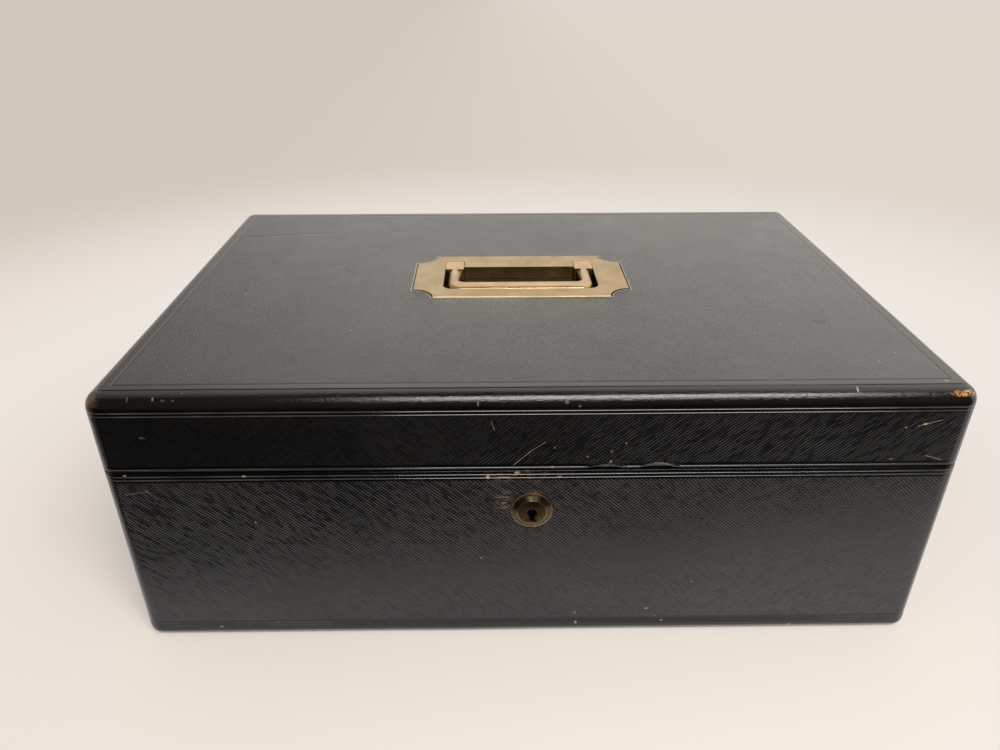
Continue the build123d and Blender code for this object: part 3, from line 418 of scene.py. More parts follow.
def leather_finish(
    name, edge_height, rim_height, levels, rim_band, worn, falling_share, left_share, depth_share, rib_sheen_share
):
    """Black straight-grain leather, worn along the box edge and smooth beside its tooled lines."""
    look = settings("leather")
    finish = Finish(name)
    place = finish.place()
    flat = finish.make("ShaderNodeUVMap", output="UV", uv_map="grain")
    x, y, z = place.parts()

    # Distance from the nearest edge and the nearest corner of the box
    from_side = HALF_WIDTH - abs(x)
    from_end = HALF_DEPTH - abs(y)
    up = 1.0 if edge_height > rim_height else -1.0
    from_level = (edge_height - z) * up
    from_rim = abs(edge_height - rim_height) - from_level
    from_upright = finish.most(from_side, from_end)
    edge = finish.least(
        from_upright, finish.most(from_end, from_level), finish.most(from_side, from_level)
    )
    corner = finish.most(from_upright, from_level)
    roll = edge.ease(6.4 * MM, 4.4 * MM)

    # Grain: two crossing sets of ribs, each stronger in its own patches
    falling = grain_ribs(finish, flat, radians(48), look.grain_pitch, 0.3)
    rising = grain_ribs(finish, flat, radians(132), look.grain_pitch, 5.7)
    lean = flat.cloud(16.0) + x * -0.7 + falling_share
    falling *= lean.ease(0.75, 1.15, 0.45, 1.0)
    rising *= lean.ease(1.25, 0.85, 0.45, 1.0)
    rubbed = flat.cloud(9.0, 3.0).ease(0.34, 0.6, 0.75, 1.0)
    to_right = x.ease(0.06, 0.16, 1.0, 0.9)
    on_top = from_level.ease(4 * MM, 1 * MM)
    to_left = finish.most(x.ease(-0.16, -0.03, left_share, 1.0), on_top)
    # No grain between the tooled lines and the edge: they reach 1.4 mm further in on top than down the sides
    lower = from_level + 1.4 * MM
    from_lines = finish.least(
        from_upright + UPRIGHT_LINE, finish.most(from_end, lower), finish.most(from_side, lower)
    )
    off_lines = from_lines.ease(TOP_LINES[1] + 0.5 * MM, TOP_LINES[1] + 1.5 * MM)
    off_rim = from_rim.ease(rim_band, rim_band + 0.8 * MM)
    grain = finish.most(falling, rising) * rubbed * to_right * to_left * off_lines * off_rim
    pores = place.cloud(2600.0) * 0.005
    crackle = (place * (1.0, 2.3, 2.3)).cloud(700.0, 3.0, 0.65) * (roll * 0.1)
    swell = place.cloud(38.0, 3.0) * 0.16
    depth = on_top.ease(0.0, 1.0, depth_share, 3 * depth_share)
    height = grain * (depth * (look.grain_depth / MM)) + pores + crackle + swell

    # Wear: brown edges and pale flecks
    rub_edge = edge.ease(2.6 * MM, 0.4 * MM, 0.0, worn)
    rub_corner = corner.ease(9.0 * MM, 2.0 * MM, 0.0, 0.5)
    rub = (rub_edge + rub_corner + place.cloud(150.0, 5.0, 0.62)).ease(0.86, 1.12)
    flecks = place.cells(95.0).ease(0.075, 0.04) * place.cloud(30.0).ease(0.62, 0.7)

    tone = place.cloud(22.0, 4.0).ease(0.35, 0.75)
    colour = finish.blend(tone, look.colour, (0.0032, 0.003, 0.003))
    # Rib tops lighter than the troughs: partly the grain's own worn tops, partly painted sheen, a little
    # stronger to the right
    ribs = grain * x.ease(0.02, 0.1, rib_sheen_share, 1.3 * rib_sheen_share)
    colour = finish.blend(ribs, colour, (0.07, 0.067, 0.064))
    colour = finish.blend(roll * 0.3, colour, (0.02, 0.016, 0.011))

    # Painted highlight on the lower walls of the tooled lines, broken up and weaker near the middle of the
    # box's width
    lines = 0.0
    for level in levels:
        gap = abs(z - (level - 0.2 * MM))
        lines = finish.most(lines, gap.ease(0.36 * MM, 0.2 * MM))
    between = off_rim * from_level.ease(8.0 * MM, 8.6 * MM)
    for near, along in ((from_end, from_side), (from_side, from_end)):
        upright = abs(along - UPRIGHT_LINE).ease(0.4 * MM, 0.2 * MM) * between
        lines = finish.most(lines, upright * near.ease(1.6 * MM, 1.0 * MM, 0.0, 0.6))
    painted_line_highlight = place.cloud(70.0, 3.0).ease(0.35, 0.6, 0.25, 0.55)
    painted_line_highlight *= abs(x - 0.03).ease(0.06, 0.14, 0.1, 1.0)
    colour = finish.blend(lines * painted_line_highlight, colour, (0.085, 0.08, 0.074))
    colour = finish.blend(rub, colour, look.worn_colour)
    colour = finish.blend(flecks * 0.7, colour, (0.3, 0.24, 0.17))
    roughness = place.cloud(60.0, 4.0, 0.6).ease(0.3, 0.75, 0.14, 0.21)
    roughness = roughness - roll * 0.05 + rub * 0.22
    return finish, place, height, colour, roughness


# Tints of the small marks
PALE = (0.36, 0.33, 0.28)
TAN = (0.27, 0.15, 0.07)
ORANGE = (0.5, 0.19, 0.045)
DARK = (0.001, 0.001, 0.001)

# Place of the box's front and height of the lid's top, in millimetres
FRONT = -HALF_DEPTH / MM
TOP = LID_HIGH.z / MM


def on_front(y, reach, rows):
    """Marks on the front, from rows of x, height, half width, half height, share and tint."""
    return [((x, y, z), (wide, reach, tall), share, tint) for x, z, wide, tall, share, tint in rows]


def on_lid_top(rows):
    """Marks on the lid's top, from rows of x, y, half width, half depth, share and tint."""
    return [((x, y, TOP), (wide, deep, 1), share, tint) for x, y, wide, deep, share, tint in rows]


def add_marks(finish, place, colour, marks):
    """Small marks, each with its middle and half sizes in millimetres, its share and its tint."""
    ragged = place.cloud(1300.0).ease(0.35, 0.6, 0.35, 1.0)
    for middle, sizes, share, tint in marks:
        spot = place.oval(mm(*middle), mm(*sizes)) * (ragged * share)
        colour = finish.blend(spot, colour, tint)
    return colour


def lid_leather():
    """Leather of the lid, with the wear that it alone has."""
    look = settings("leather")
    top = LID_HIGH.z
    front = -HALF_DEPTH
    finish, place, height, colour, roughness = leather_finish(
        "lid_leather",
        edge_height=top,
        rim_height=LID_LOW.z,
        levels=lid_levels(),
        rim_band=2.4 * MM,
        worn=0.22,
        falling_share=0.4,
        left_share=0.45,
        depth_share=0.35,
        rib_sheen_share=0.32,
    )
    # Bare flecks on the front right corner of the roll, brown rubbing on the left one
    chips = (place * (1.0, 1.4, 1.4)).cloud(620.0)
    right_corner = (HALF_WIDTH - 7 * MM, front + 2.4 * MM, top - 2.4 * MM)
    bare = (place.oval(right_corner, mm(12, 3.4, 2.6)) + chips).ease(1.3, 1.5)
    hue = place.cloud(500.0, 1.0).ease(0.5, 0.64)
    bare_colour = finish.blend(hue, look.bare_colour, (0.6, 0.42, 0.1))
    specks = place.cloud(1500.0).ease(0.4, 0.56, 0.1, 1.0)
    colour = finish.blend(bare * specks, colour, bare_colour)
    left_corner = (2.5 * MM - HALF_WIDTH, front + 4 * MM, top - 2.5 * MM)
    brown = (place - left_corner).length().ease(11 * MM, 1.5 * MM) + chips
    colour = finish.blend(brown.ease(0.95, 1.6, 0.0, 0.65), colour, (0.1, 0.06, 0.034))
    on_roll = [
        (-159, 127.5, 0.5, 1.3, 0.25, PALE),
        (-149, 127.5, 0.7, 0.9, 0.4, PALE),
        (-145, 127, 1.1, 0.6, 0.2, PALE),
        (-141, 127, 0.8, 0.5, 0.2, PALE),
        (-22, 125, 0.5, 1.3, 0.45, PALE),
        (13, 125.5, 1.2, 0.9, 0.35, PALE),
        (18, 124, 0.9, 0.7, 0.35, PALE),
    ]
    below_roll = [
        (157, 114.5, 1.2, 0.7, 0.9, (0.5, 0.3, 0.12)),
        (149.4, 113, 0.6, 0.5, 0.6, PALE),
        (147, 97.6, 1.1, 0.5, 0.5, TAN),
        (-156, 110.8, 1.8, 0.8, 0.12, PALE),
        (32, 102.4, 0.8, 0.9, 0.7, TAN),
        (32, 97.6, 0.8, 0.7, 0.7, PALE),
        (22.4, 100, 0.9, 0.6, 0.3, PALE),
        (8, 95, 1.2, 0.7, 0.7, TAN),
    ]
    above_roll = [
        (156.5, -87.5, 0.7, 0.7, 0.6, PALE),
        (146, -96, 0.35, 1.6, 0.6, PALE),
        (165.7, -112.5, 1.2, 0.9, 0.9, ORANGE),
        (169, -65, 0.7, 1.0, 0.7, TAN),
        (-9.4, -83, 0.7, 0.7, 0.9, PALE),
        (-80.6, -62, 0.8, 0.6, 0.6, PALE),
        (50, -38, 0.8, 0.7, 0.5, PALE),
        (0.5, -118, 3.2, 0.5, 0.6, (0.3, 0.32, 0.2)),
    ]
    marks = on_front(FRONT + 1, 4, on_roll) + on_front(FRONT, 3, below_roll) + on_lid_top(above_roll)
    marks.append(((-138, -119, 129), (0.7, 3, 0.7), 0.8, PALE))
    marks.append(((128, -117.5, 129), (0.5, 2.2, 2), 0.9, (0.5, 0.42, 0.25)))
    colour = add_marks(finish, place, colour, marks)

    # Thin broken scratches: x and height of both ends, half width and share
    scratches = [
        (154.1, 113.5, 163, 116.3, 0.28, 0.55),
        (-8.9, 95.2, -1, 102.8, 0.26, 0.5),
        (-1, 102.8, 5.1, 107.4, 0.22, 0.4),
        (161.1, 99.1, 168, 97, 0.28, 0.5),
        (-16.8, 117, -15.6, 113.2, 0.22, 0.4),
    ]
    breaks = place.cloud(900.0, 3.0)
    for x1, z1, x2, z2, width, share in scratches:
        line = place.near_line(mm(x1, FRONT, z1), mm(x2, FRONT, z2), width * MM)
        colour = finish.blend((line + breaks).ease(1.15, 1.5, 0.0, share), colour, PALE)

    # Crease and dent on top, wrinkles over the lifted rim, and painted highlights along its lips
    x, y, z = place.parts()
    bent = finish.joined(x, y + place.cloud(60.0) * (5 * MM), z)
    crease = bent.near_line(mm(-178, 70, TOP), mm(-114, 78, TOP), 1.6 * MM)
    dent = place.oval(mm(135.5, -57, TOP), mm(4.5, 3.2, 2))
    height = height - crease * 0.22 - dent * 0.25
    roughness += dent * 0.15
    for middle, half, rise in LIFTS:
        share = (x - middle * MM) / (half * MM)
        share = (1.0 - share * share).clamped()
        above = z - LID_LOW.z - share**1.5 * (rise * MM)
        # Painted highlight along the lip of the lifted leather
        lip_highlight = above.ease(0.6 * MM, 0.3 * MM) * share.ease(0.0, 0.3)
        lip_highlight *= y.ease(front + 0.6 * MM, front + 0.2 * MM, 0.0, 0.6)
        colour = finish.blend(lip_highlight * chips, colour, PALE)
        spread = place - (middle * MM, front, LID_LOW.z - 2 * MM)
        ring = (spread * (0.5, 0, 1)).length() + chips * (1.5 * MM)
        wave = (ring * (2 * pi / (1.5 * MM))).sine()
        height += wave * (spread.length().ease(13 * MM, 6 * MM) * chips) * 0.07

    # Cut edge round the handle plate
    inside = abs(place - PLATE_MIDDLE) * (1, 1, 0)
    across, along, _ = inside.parts()
    from_corner = (inside - (PLATE_HALF.x, PLATE_HALF.y, 0)).length()
    outside = finish.most(
        across - (PLATE_HALF.x + look.plate_gap),
        along - (PLATE_HALF.y + PLATE_END_GAP),
        HOLLOW_RADIUS - look.plate_gap - from_corner,
    )
    fray = place.cloud(700.0) * (0.7 * MM)
    cut = (outside + fray).ease(0.75 * MM, 0.6 * MM) * outside.ease(-0.06 * MM, -0.02 * MM)
    colour = finish.blend(cut * 0.85, colour, look.cut_colour)
    return finish.close(colour, roughness, height, ("IOR", 1.5))


def base_leather():
    """Leather of the base, with the wear that it alone has."""
    finish, place, height, colour, roughness = leather_finish(
        "base_leather",
        edge_height=BASE_LOW.z,
        rim_height=BASE_HIGH.z,
        levels=base_levels(),
        rim_band=4.3 * MM,
        worn=0.36,
        falling_share=0.62,
        left_share=1.0,
        depth_share=0.5,
        rib_sheen_share=0.64,
    )
    # Rubbed patches beside the lock and along the rim above it
    streaks = (place * (0.5, 1.0, 3.2)).cloud(480.0, 3.0).ease(0.48, 0.64)
    beside = place.oval(mm(-12, FRONT, 78), mm(6, 4, 9))
    above = place.oval(mm(-6, FRONT, 90.5), mm(20, 4, 4))
    rubbed = ((beside * 0.4 + above * 0.35) * streaks).clamped()
    colour = finish.blend(rubbed, colour, (0.2, 0.12, 0.07))
    marks = [
        (-18.4, 90.3, 0.9, 1.3, 1.0, (0.5, 0.4, 0.22)),
        (-12, 90, 4, 0.5, 0.6, PALE),
        (-11, 79.8, 2.6, 0.5, 0.8, (0.2, 0.11, 0.06)),
        (-11.7, 76.7, 1.8, 0.6, 0.6, (0.3, 0.16, 0.1)),
        (-11.7, 74, 1.6, 0.4, 0.7, (0.26, 0.17, 0.11)),
        (-6.3, 92.2, 1.5, 1.0, 1.0, (0.5, 0.3, 0.16)),
        (11.2, 90.1, 1.5, 0.6, 0.8, (0.4, 0.2, 0.17)),
        (-118.7, 91.7, 1.1, 0.6, 0.9, PALE),
        (-167.2, 92.4, 0.9, 0.5, 0.9, PALE),
        (-117.5, 67.4, 0.5, 0.5, 0.9, PALE),
        (-113.4, 37.4, 1.2, 1.4, 0.9, DARK),
        (-142.7, 6, 1.3, 0.5, 0.7, PALE),
        (-116.4, 8.4, 0.7, 0.5, 0.8, PALE),
        (21.6, 6.3, 0.8, 1.3, 0.9, ORANGE),
        (21, 12.5, 0.4, 1.2, 0.6, PALE),
        (53.8, 14.9, 1.0, 0.8, 0.9, PALE),
        (58.2, 10.1, 0.7, 0.8, 0.7, TAN),
        (61.6, 7.2, 0.8, 0.8, 0.8, (0.5, 0.35, 0.15)),
        (121.9, 3.5, 1.3, 1.0, 1.0, ORANGE),
        (160, 17, 1.2, 0.8, 0.6, DARK),
        (-21.8, 46.2, 0.6, 0.5, 0.7, PALE),
        (72.9, 31.1, 0.6, 0.5, 0.7, PALE),
    ]
    colour = add_marks(finish, place, colour, on_front(FRONT, 3, marks))
    crack = [mm(-168.8, FRONT, 83.0), mm(-159.9, FRONT, 84.3), mm(-156.5, FRONT, 80.2)]
    for start, end in zip(crack, crack[1:]):
        line = place.near_line(start, end, 0.7 * MM)
        height += line * 0.12
        colour = finish.blend(line * 0.05, colour, PALE)
    return finish.close(colour, roughness, height, ("IOR", 1.5))


# Other materials


def brass_layers(finish, place, colour, tarnish, patch, rough_low, rough_high):
    """Patches of tarnish, fine scratches and dents of worn brass."""
    patches = place.cloud(75.0, 4.0, 0.6).ease(0.35, 0.8, 0.0, patch)
    fine = (place * (1.0, 4.0, 4.0)).cloud(420.0, 3.0).ease(0.3, 0.8, 0.0, 0.35 * patch)
    shade = finish.blend((patches + fine).clamped(), colour, tarnish)
    roughness = place.cloud(130.0, 4.0).ease(0.3, 0.75, rough_low, rough_high)
    scratches = (place * (1.0, 14.0, 14.0)).cloud(320.0)
    height = scratches * 0.006 + place.cloud(180.0, 3.0) * 0.05
    return finish.close(shade, roughness, height, ("Metallic", 1.0))


def brass_finish(name, colour, tarnish, patch, rough_low, rough_high):
    """Worn satin brass, with patches of tarnish."""
    finish = Finish(name)
    return brass_layers(finish, finish.place(), colour, tarnish, patch, rough_low, rough_high)


def plate_finish():
    """Brass of the handle plate, with a painted highlight along its front edge."""
    look = settings("brass")
    finish = Finish("plate_brass")
    place = finish.place()
    # Painted highlight: the front edge lightened to a pale yellow
    rubbed = place.parts()[1].ease(PLATE_LOW.y + 0.9 * MM, PLATE_LOW.y + 0.35 * MM)
    colour = finish.blend(rubbed, look.colour, (0.95, 0.8, 0.42))
    return brass_layers(finish, place, colour, look.tarnish, 0.35, 0.3, 0.46)


def nozzle_finish():
    """Darkened brass of the nozzle: a brown face, a painted highlight on the ring round it, painted shade on
    the olive bevel and a painted highlight on the turned rim.
    """
    look = settings("brass")
    finish = Finish("nozzle_brass")
    place = finish.place()
    base = Vector(look.lock_colour)
    bevel = base * Vector((0.42, 0.54, 0.5))
    radius = ((place - NOZZLE_MIDDLE) * (1, 0, 1)).length() + place.cloud(500.0) * (0.3 * MM)
    # Rings out from the middle: face, painted highlight, painted shade on the bevel, painted highlight on
    # the rim
    colour = base * 0.95
    for step, inner in ((base * 1.9, 5.95), (bevel, 6.4), (base * 3.2, 8.4)):
        colour = finish.blend(radius.ease(inner * MM, (inner + 0.12) * MM), colour, step)
    return brass_layers(finish, place, colour, look.tarnish, 0.4, 0.26, 0.4)


def steel_finish():
    """Bright steel with fine drawn marks."""
    finish = Finish("pin_steel")
    place = finish.place()
    roughness = place.cloud(400.0, 4.0).ease(0.3, 0.7, 0.25, 0.45)
    height = place.cloud(2200.0) * 0.012
    return finish.close(settings("inside").steel_colour, roughness, height, ("Metallic", 1.0))


def wood_finish(name, along):
    """Plain sawn and planed wood, its grain along one axis."""
    colour = Vector(settings("inside").wood_colour)
    finish = Finish(name)
    stretch = [42.0, 42.0, 42.0]
    stretch[along] = 2.6
    place = finish.place() * stretch
    bands = (place.cloud(1.0, 4.0, 0.55, 1.6) * 7.0).fraction().ease(0.0, 1.0)
    fibre = (place * (7.0, 7.0, 7.0)).cloud(1.0, 3.0)
    shade = finish.blend(bands * 0.6, colour, colour * 0.5)
    shade = finish.blend(fibre.ease(0.45, 0.8, 0.0, 0.4), shade, colour * 0.3)
    return finish.close(shade, fibre.ease(0.2, 0.8, 0.5, 0.68), fibre * 0.06)


def lining_finish(name):
    """Dark green lining paper with a fine pebbled grain."""
    colour = Vector(settings("inside").lining_colour)
    finish = Finish(name)
    place = finish.place()
    pebbles = place.cells(900.0, "SMOOTH_F1")
    mottle = place.cloud(45.0, 4.0, 0.6)
    faded = colour * 0.6 + Vector((0.02, 0.02, 0.02))
    shade = finish.blend(mottle.ease(0.35, 0.8, 0.0, 0.7), colour, faded)
    shade = finish.blend(pebbles.ease(0.35, 0.7, 0.0, 0.5), shade, colour * 0.45)
    return finish.close(shade, mottle.ease(0.3, 0.7, 0.5, 0.66), pebbles * -0.09)


def cloth_finish():
    """Black book cloth with a plain weave."""
    finish = Finish("underside_cloth")
    place = finish.place()
    x, y, _ = place.parts()
    threads = 2 * pi / (0.55 * MM)
    weave = (x * threads).sine() * (y * threads).sine()
    dust = place.cloud(35.0, 4.0)
    shade = finish.blend(dust.ease(0.4, 0.8), (0.012, 0.012, 0.012), (0.035, 0.031, 0.027))
    return finish.close(shade, dust.ease(0.3, 0.7, 0.7, 0.85), weave * 0.04, ("Sheen Weight", 0.15))


# Meshes


def new_piece(name, bm):
    """An object at the origin that takes the finished mesh."""
    mesh = bpy.data.meshes.new(name)
    bm.to_mesh(mesh)
    bm.free()
    piece = bpy.data.objects.new(name, mesh)
    bpy.context.scene.collection.objects.link(piece)
    return piece


def soften(piece, angle):
    """Smooth shading, with edges sharper than the angle left crisp."""
    piece.data.shade_smooth()
    piece.data.set_sharp_from_angle(angle=angle)


def settle(piece):
    """Applies the piece's modifiers to its mesh."""
    bpy.context.view_layer.update()
    graph = bpy.context.evaluated_depsgraph_get()
    mesh = bpy.data.meshes.new_from_object(piece.evaluated_get(graph))
    piece.modifiers.clear()
    old = piece.data
    piece.data = mesh
    bpy.data.meshes.remove(old)
    mesh.name = piece.name


def carve(piece, bm):
    """Cuts a mesh out of a piece."""
    cutter = new_piece("cutter", bm)
    cut = piece.modifiers.new("cut", "BOOLEAN")
    cut.operation = "DIFFERENCE"
    cut.solver = "EXACT"
    cut.object = cutter
    settle(piece)
    mesh = cutter.data
    bpy.data.objects.remove(cutter)
    bpy.data.meshes.remove(mesh)


def block(bm, low, high):
    """Adds a block between two corners."""
    low, high = Vector(low), Vector(high)
    made = bmesh.ops.create_cube(bm, size=1.0)["verts"]
    bmesh.ops.scale(bm, vec=high - low, verts=made)
    bmesh.ops.translate(bm, vec=(low + high) / 2, verts=made)


def carve_blocks(piece, *blocks):
    """Cuts blocks, each given by its two corners, out of a piece."""
    bm = bmesh.new()
    for low, high in blocks:
        block(bm, low, high)
    carve(piece, bm)


def drum(bm, radius, depth):
    """Adds a drum that lies from front to back and returns its vertices."""
    made = bmesh.ops.create_cone(
        bm, cap_ends=True, segments=48, radius1=radius, radius2=radius, depth=depth
    )["verts"]
    bmesh.ops.rotate(bm, verts=made, cent=(0, 0, 0), matrix=Matrix.Rotation(pi / 2, 3, "X"))
    return made


def round_edges(bm, edges, offset, segments):
    """Rounds edges of a mesh."""
    bmesh.ops.bevel(
        bm, geom=edges, offset=offset, affect="EDGES", segments=segments, profile=0.5, material=-1
    )


def rounded(inset, drop, radius):
    """Takes a point on a square edge, given by its two distances, to the rounded edge."""
    if inset >= radius or drop >= radius:
        return inset, drop
    across = radius - inset
    down = radius - drop
    scale = radius / hypot(across, down)
    return radius - across * scale, radius - down * scale


def square_of(inset, radius):
    """The distance on the square edge that lands at this inset on the rounded one."""
    if inset >= radius:
        return inset
    return radius - radius * tan(asin((radius - inset) / radius))


def cut_across(bm, axis, place):
    """Cuts the whole mesh by a plane square to one axis."""
    normal = Vector((0, 0, 0))
    normal[axis] = 1.0
    everything = bm.verts[:] + bm.edges[:] + bm.faces[:]
    bmesh.ops.bisect_plane(bm, geom=everything, plane_co=normal * place, plane_no=normal)


def fill_between(bm, axis, pitch):
    """Divides the long edges along one axis into steps of about the pitch."""
    spans = {}
    for edge in bm.edges:
        a, b = (v.co for v in edge.verts)
        length = abs(a[axis] - b[axis])
        if length > 1.5 * pitch:
            key = (round(min(a[axis], b[axis]) / MM, 3), round(length / MM, 3))
            spans.setdefault(key, []).append(edge)
    for (_, length), edges in sorted(spans.items()):
        steps = int(length * MM / pitch)
        bmesh.ops.subdivide_edges(bm, edges=edges, cuts=steps, use_grid_fill=True)


def line_cuts(centre, width, wall):
    """The cuts that a tooled line needs: its slopes, its floor and a guard on each side."""
    return [centre + side * width * share for side in (-1, 1) for share in (0.8, 0.5, 0.5 - wall)]


def line_share(distance, width, wall):
    """Share of a tooled line's full depth at a distance from its middle."""
    share = (width / 2 - abs(distance)) / (width * wall)
    return min(max(share, 0.0), 1.0)


def lift_of(place, low):
    """How far the front's lower edge is raised and pushed out where the leather has come away."""
    rise = Vector((0, 0, 0))
    above = (place.z - low) / LIFT_REACH
    if place.y > 0.6 * MM - HALF_DEPTH or above >= 1:
        return rise
    fade = (1 - above) ** 2
    for middle, half, height in LIFTS:
        share = (place.x / MM - middle) / half
        if abs(share) < 1:
            bell = (1 - share * share) ** 1.5
            rise += Vector((0, -LIFT_PROUD * bell * fade, height * MM * bell * fade))
    return rise


def lift_gaps(low):
    """The dark gaps under the lifted leather, as a mesh that is cut out."""
    bm = bmesh.new()
    for middle, half, height in LIFTS:
        made = drum(bm, 1.0, 0.65 * MM)
        bmesh.ops.scale(bm, verts=made, vec=(0.85 * half * MM, 1.0, 1.3 * height * MM))
        bmesh.ops.translate(bm, verts=made, vec=(middle * MM, 0.63 * MM - HALF_DEPTH, low))
    return bm


def skin_cuts(bm, low, high, top_radius, bottom_radius, levels, frames, lifted):
    """Cuts a block of leather along its tooled lines and through its rounded edges."""
    look = settings("leather")
    corner = look.corner_radius
    far_share = [0.34, 0.5, 0.68, 0.86]
    for axis, half in enumerate((HALF_WIDTH, HALF_DEPTH)):
        insets = [corner]
        insets += [square_of(corner * share, corner) for share in far_share]
        for line in line_cuts(UPRIGHT_LINE, look.line_width, SIDE_WALL):
            insets.append(square_of(line, corner))
        for line in frames:
            insets += [square_of(c, top_radius) for c in line_cuts(line, look.line_width, TOP_WALL)]
        for inset in insets:
            if inset > 0:
                cut_across(bm, axis, half - inset)
                cut_across(bm, axis, inset - half)
    if lifted:
        cut_across(bm, 1, 0.9 * MM - HALF_DEPTH)
        for middle, spread, _ in LIFTS:
            for step in range(2 * spread + 1):
                cut_across(bm, 0, (middle - spread + step) * MM)
    heights = [high - top_radius, low + bottom_radius]
    for share in far_share:
        heights.append(high - square_of(top_radius * share, top_radius))
        heights.append(low + square_of(bottom_radius * share, bottom_radius))
    for level in levels:
        heights += line_cuts(level, look.line_width, SIDE_WALL)
    for height in heights:
        if low < height < high:
            cut_across(bm, 2, height)
    for axis in range(3):
        fill_between(bm, axis, look.mesh_pitch)


def leather_skin(low, high, top_radius, bottom_radius, levels, frames=(), lifted=False):
    """A closed block of leather with rounded edges and tooled lines.

    The levels are heights of lines round the sides, and the frames are distances
    of those on top from the sides.
    """
    look = settings("leather")
    corner = look.corner_radius
    half = Vector((HALF_WIDTH, HALF_DEPTH))
    bm = bmesh.new()
    block(bm, (-half.x, -half.y, low), (half.x, half.y, high))
    skin_cuts(bm, low, high, top_radius, bottom_radius, levels, frames, lifted)

    # Rounding, tooled lines and unevenness, point by point
    inner = half - Vector((corner, corner))
    for vert in bm.verts:
        x, y, z = vert.co
        side = Vector((1 if x >= 0 else -1, 1 if y >= 0 else -1))
        reach = Vector((abs(x) - inner.x, abs(y) - inner.y))
        if reach.x > 0 and reach.y > 0:
            inset = corner - max(reach)
            outward = reach.normalized()
            centre = inner
        else:
            gap = (half.x - abs(x), half.y - abs(y))
            nearer = 0 if gap[0] < gap[1] else 1
            inset = gap[nearer]
            outward = Vector((1, 0)) if nearer == 0 else Vector((0, 1))
            centre = Vector((abs(x), abs(y)))
            centre[nearer] = half[nearer] - corner
        if high - z < z - low:
            inset, drop = rounded(inset, high - z, top_radius)
            z = high - drop
            rise, bend = 1.0, top_radius
        else:
            inset, drop = rounded(inset, z - low, bottom_radius)
            z = low + drop
            rise, bend = -1.0, bottom_radius
        plan = centre + outward * (corner - inset)
        drop = min(high - z, z - low)
        # Outward direction of the finished surface
        if inset < bend and drop < bend:
            level_part = (bend - inset) / bend
            rise_part = rise * (bend - drop) / bend
        elif inset < drop:
            level_part, rise_part = 1.0, 0.0
        else:
            level_part, rise_part = 0.0, rise
        normal = Vector((outward.x * side.x * level_part, outward.y * side.y * level_part, rise_part))
        normal.normalize()
        # Depth of the tooled lines here
        depth = 0.0
        if level_part > 0.3:
            gaps = [z - level for level in levels]
            if min(levels) < z < max(levels):
                face = 0 if outward.y >= outward.x else 1
                gaps.append(half[face] - plan[face] - UPRIGHT_LINE)
            depth = max(line_share(gap, look.line_width, SIDE_WALL) for gap in gaps) * look.line_depth
        if rise_part > 0.6:
            nearest = min(half.x - plan.x, half.y - plan.y)
            for line in frames:
                share = line_share(nearest - line, look.line_width, TOP_WALL)
                depth = max(depth, share * TOP_DEPTH_SHARE * look.line_depth)
        place = Vector((plan.x * side.x, plan.y * side.y, z))
        wave = noise.noise(place * 16.0) * 0.75 + noise.noise(place * 55.0) * 0.25
        if rise_part < -0.5:
            wave = 0.0
        if lifted:
            place += lift_of(place, low)
        vert.co = place + normal * (wave * look.unevenness - depth)
    bmesh.ops.recalc_face_normals(bm, faces=bm.faces[:])
    return bm


def add_grain_map(mesh):
    """A flat map of each face in metres, so that the grain follows the leather."""
    layer = mesh.uv_layers.new(name="grain")
    shifts = (Vector((0.7, 0.2)), Vector((0.0, 1.3)), Vector((2.1, 0.9)))
    for polygon in mesh.polygons:
        normal = polygon.normal
        widest = max(range(3), key=lambda i: abs(normal[i]))
        across, up = ((1, 2), (0, 2), (0, 1))[widest]
        turn = -1.0 if (widest == 0 and normal.x < 0) or (widest == 1 and normal.y > 0) else 1.0
        for loop in polygon.loop_indices:
            co = mesh.vertices[mesh.loops[loop].vertex_index].co
            layer.data[loop].uv = Vector((co[across] * turn, co[up])) + shifts[widest]


def plate_room(side_gap, end_gap, low, high):
    """A block of the handle plate's outline, with its hollow corners and a gap all round."""
    bm = bmesh.new()
    radius = HOLLOW_RADIUS - side_gap
    corner_steps = 18
    outline = []
    for sx, sy, start in ((1, 1, 180), (-1, 1, 270), (-1, -1, 0), (1, -1, 90)):
        centre = Vector((sx * PLATE_HALF.x, sy * PLATE_HALF.y, 0))
        for step in reversed(range(corner_steps + 1)):
            turn = radians(start + 90 * step / corner_steps)
            point = centre + Vector((cos(turn), sin(turn), 0)) * radius
            if abs(abs(point.x) - PLATE_HALF.x) < 0.001 * MM:
                point.x += sx * side_gap
            if abs(abs(point.y) - PLATE_HALF.y) < 0.001 * MM:
                point.y += sy * end_gap
            outline.append(point + Vector((PLATE_MIDDLE.x, PLATE_MIDDLE.y, low)))
    face = bm.faces.new([bm.verts.new(point) for point in outline])
    raised = bmesh.ops.extrude_face_region(bm, geom=[face])["geom"]
    top = [v for v in raised if isinstance(v, bmesh.types.BMVert)]
    bmesh.ops.translate(bm, vec=(0, 0, high - low), verts=top)
    bmesh.ops.recalc_face_normals(bm, faces=bm.faces[:])
    return bm


def inner_block(low, high, top_radius, bottom_radius):
    """A coarse rounded block that hollows a leather skin."""
    look = settings("leather")
    wall = look.thickness
    bm = bmesh.new()
    block(bm, (wall - HALF_WIDTH, wall - HALF_DEPTH, low), (HALF_WIDTH - wall, HALF_DEPTH - wall, high))
    upright = [e for e in bm.edges if abs(e.verts[0].co.z - e.verts[1].co.z) > MM]
    round_edges(bm, upright, look.corner_radius - wall, 6)
    for radius, level in ((top_radius, high), (bottom_radius, low)):
        if radius > wall + 0.4 * MM:
            rim = [e for e in bm.edges if all(abs(v.co.z - level) < 0.01 * MM for v in e.verts)]
            round_edges(bm, rim, radius - wall - 0.2 * MM, 4)
    return bm


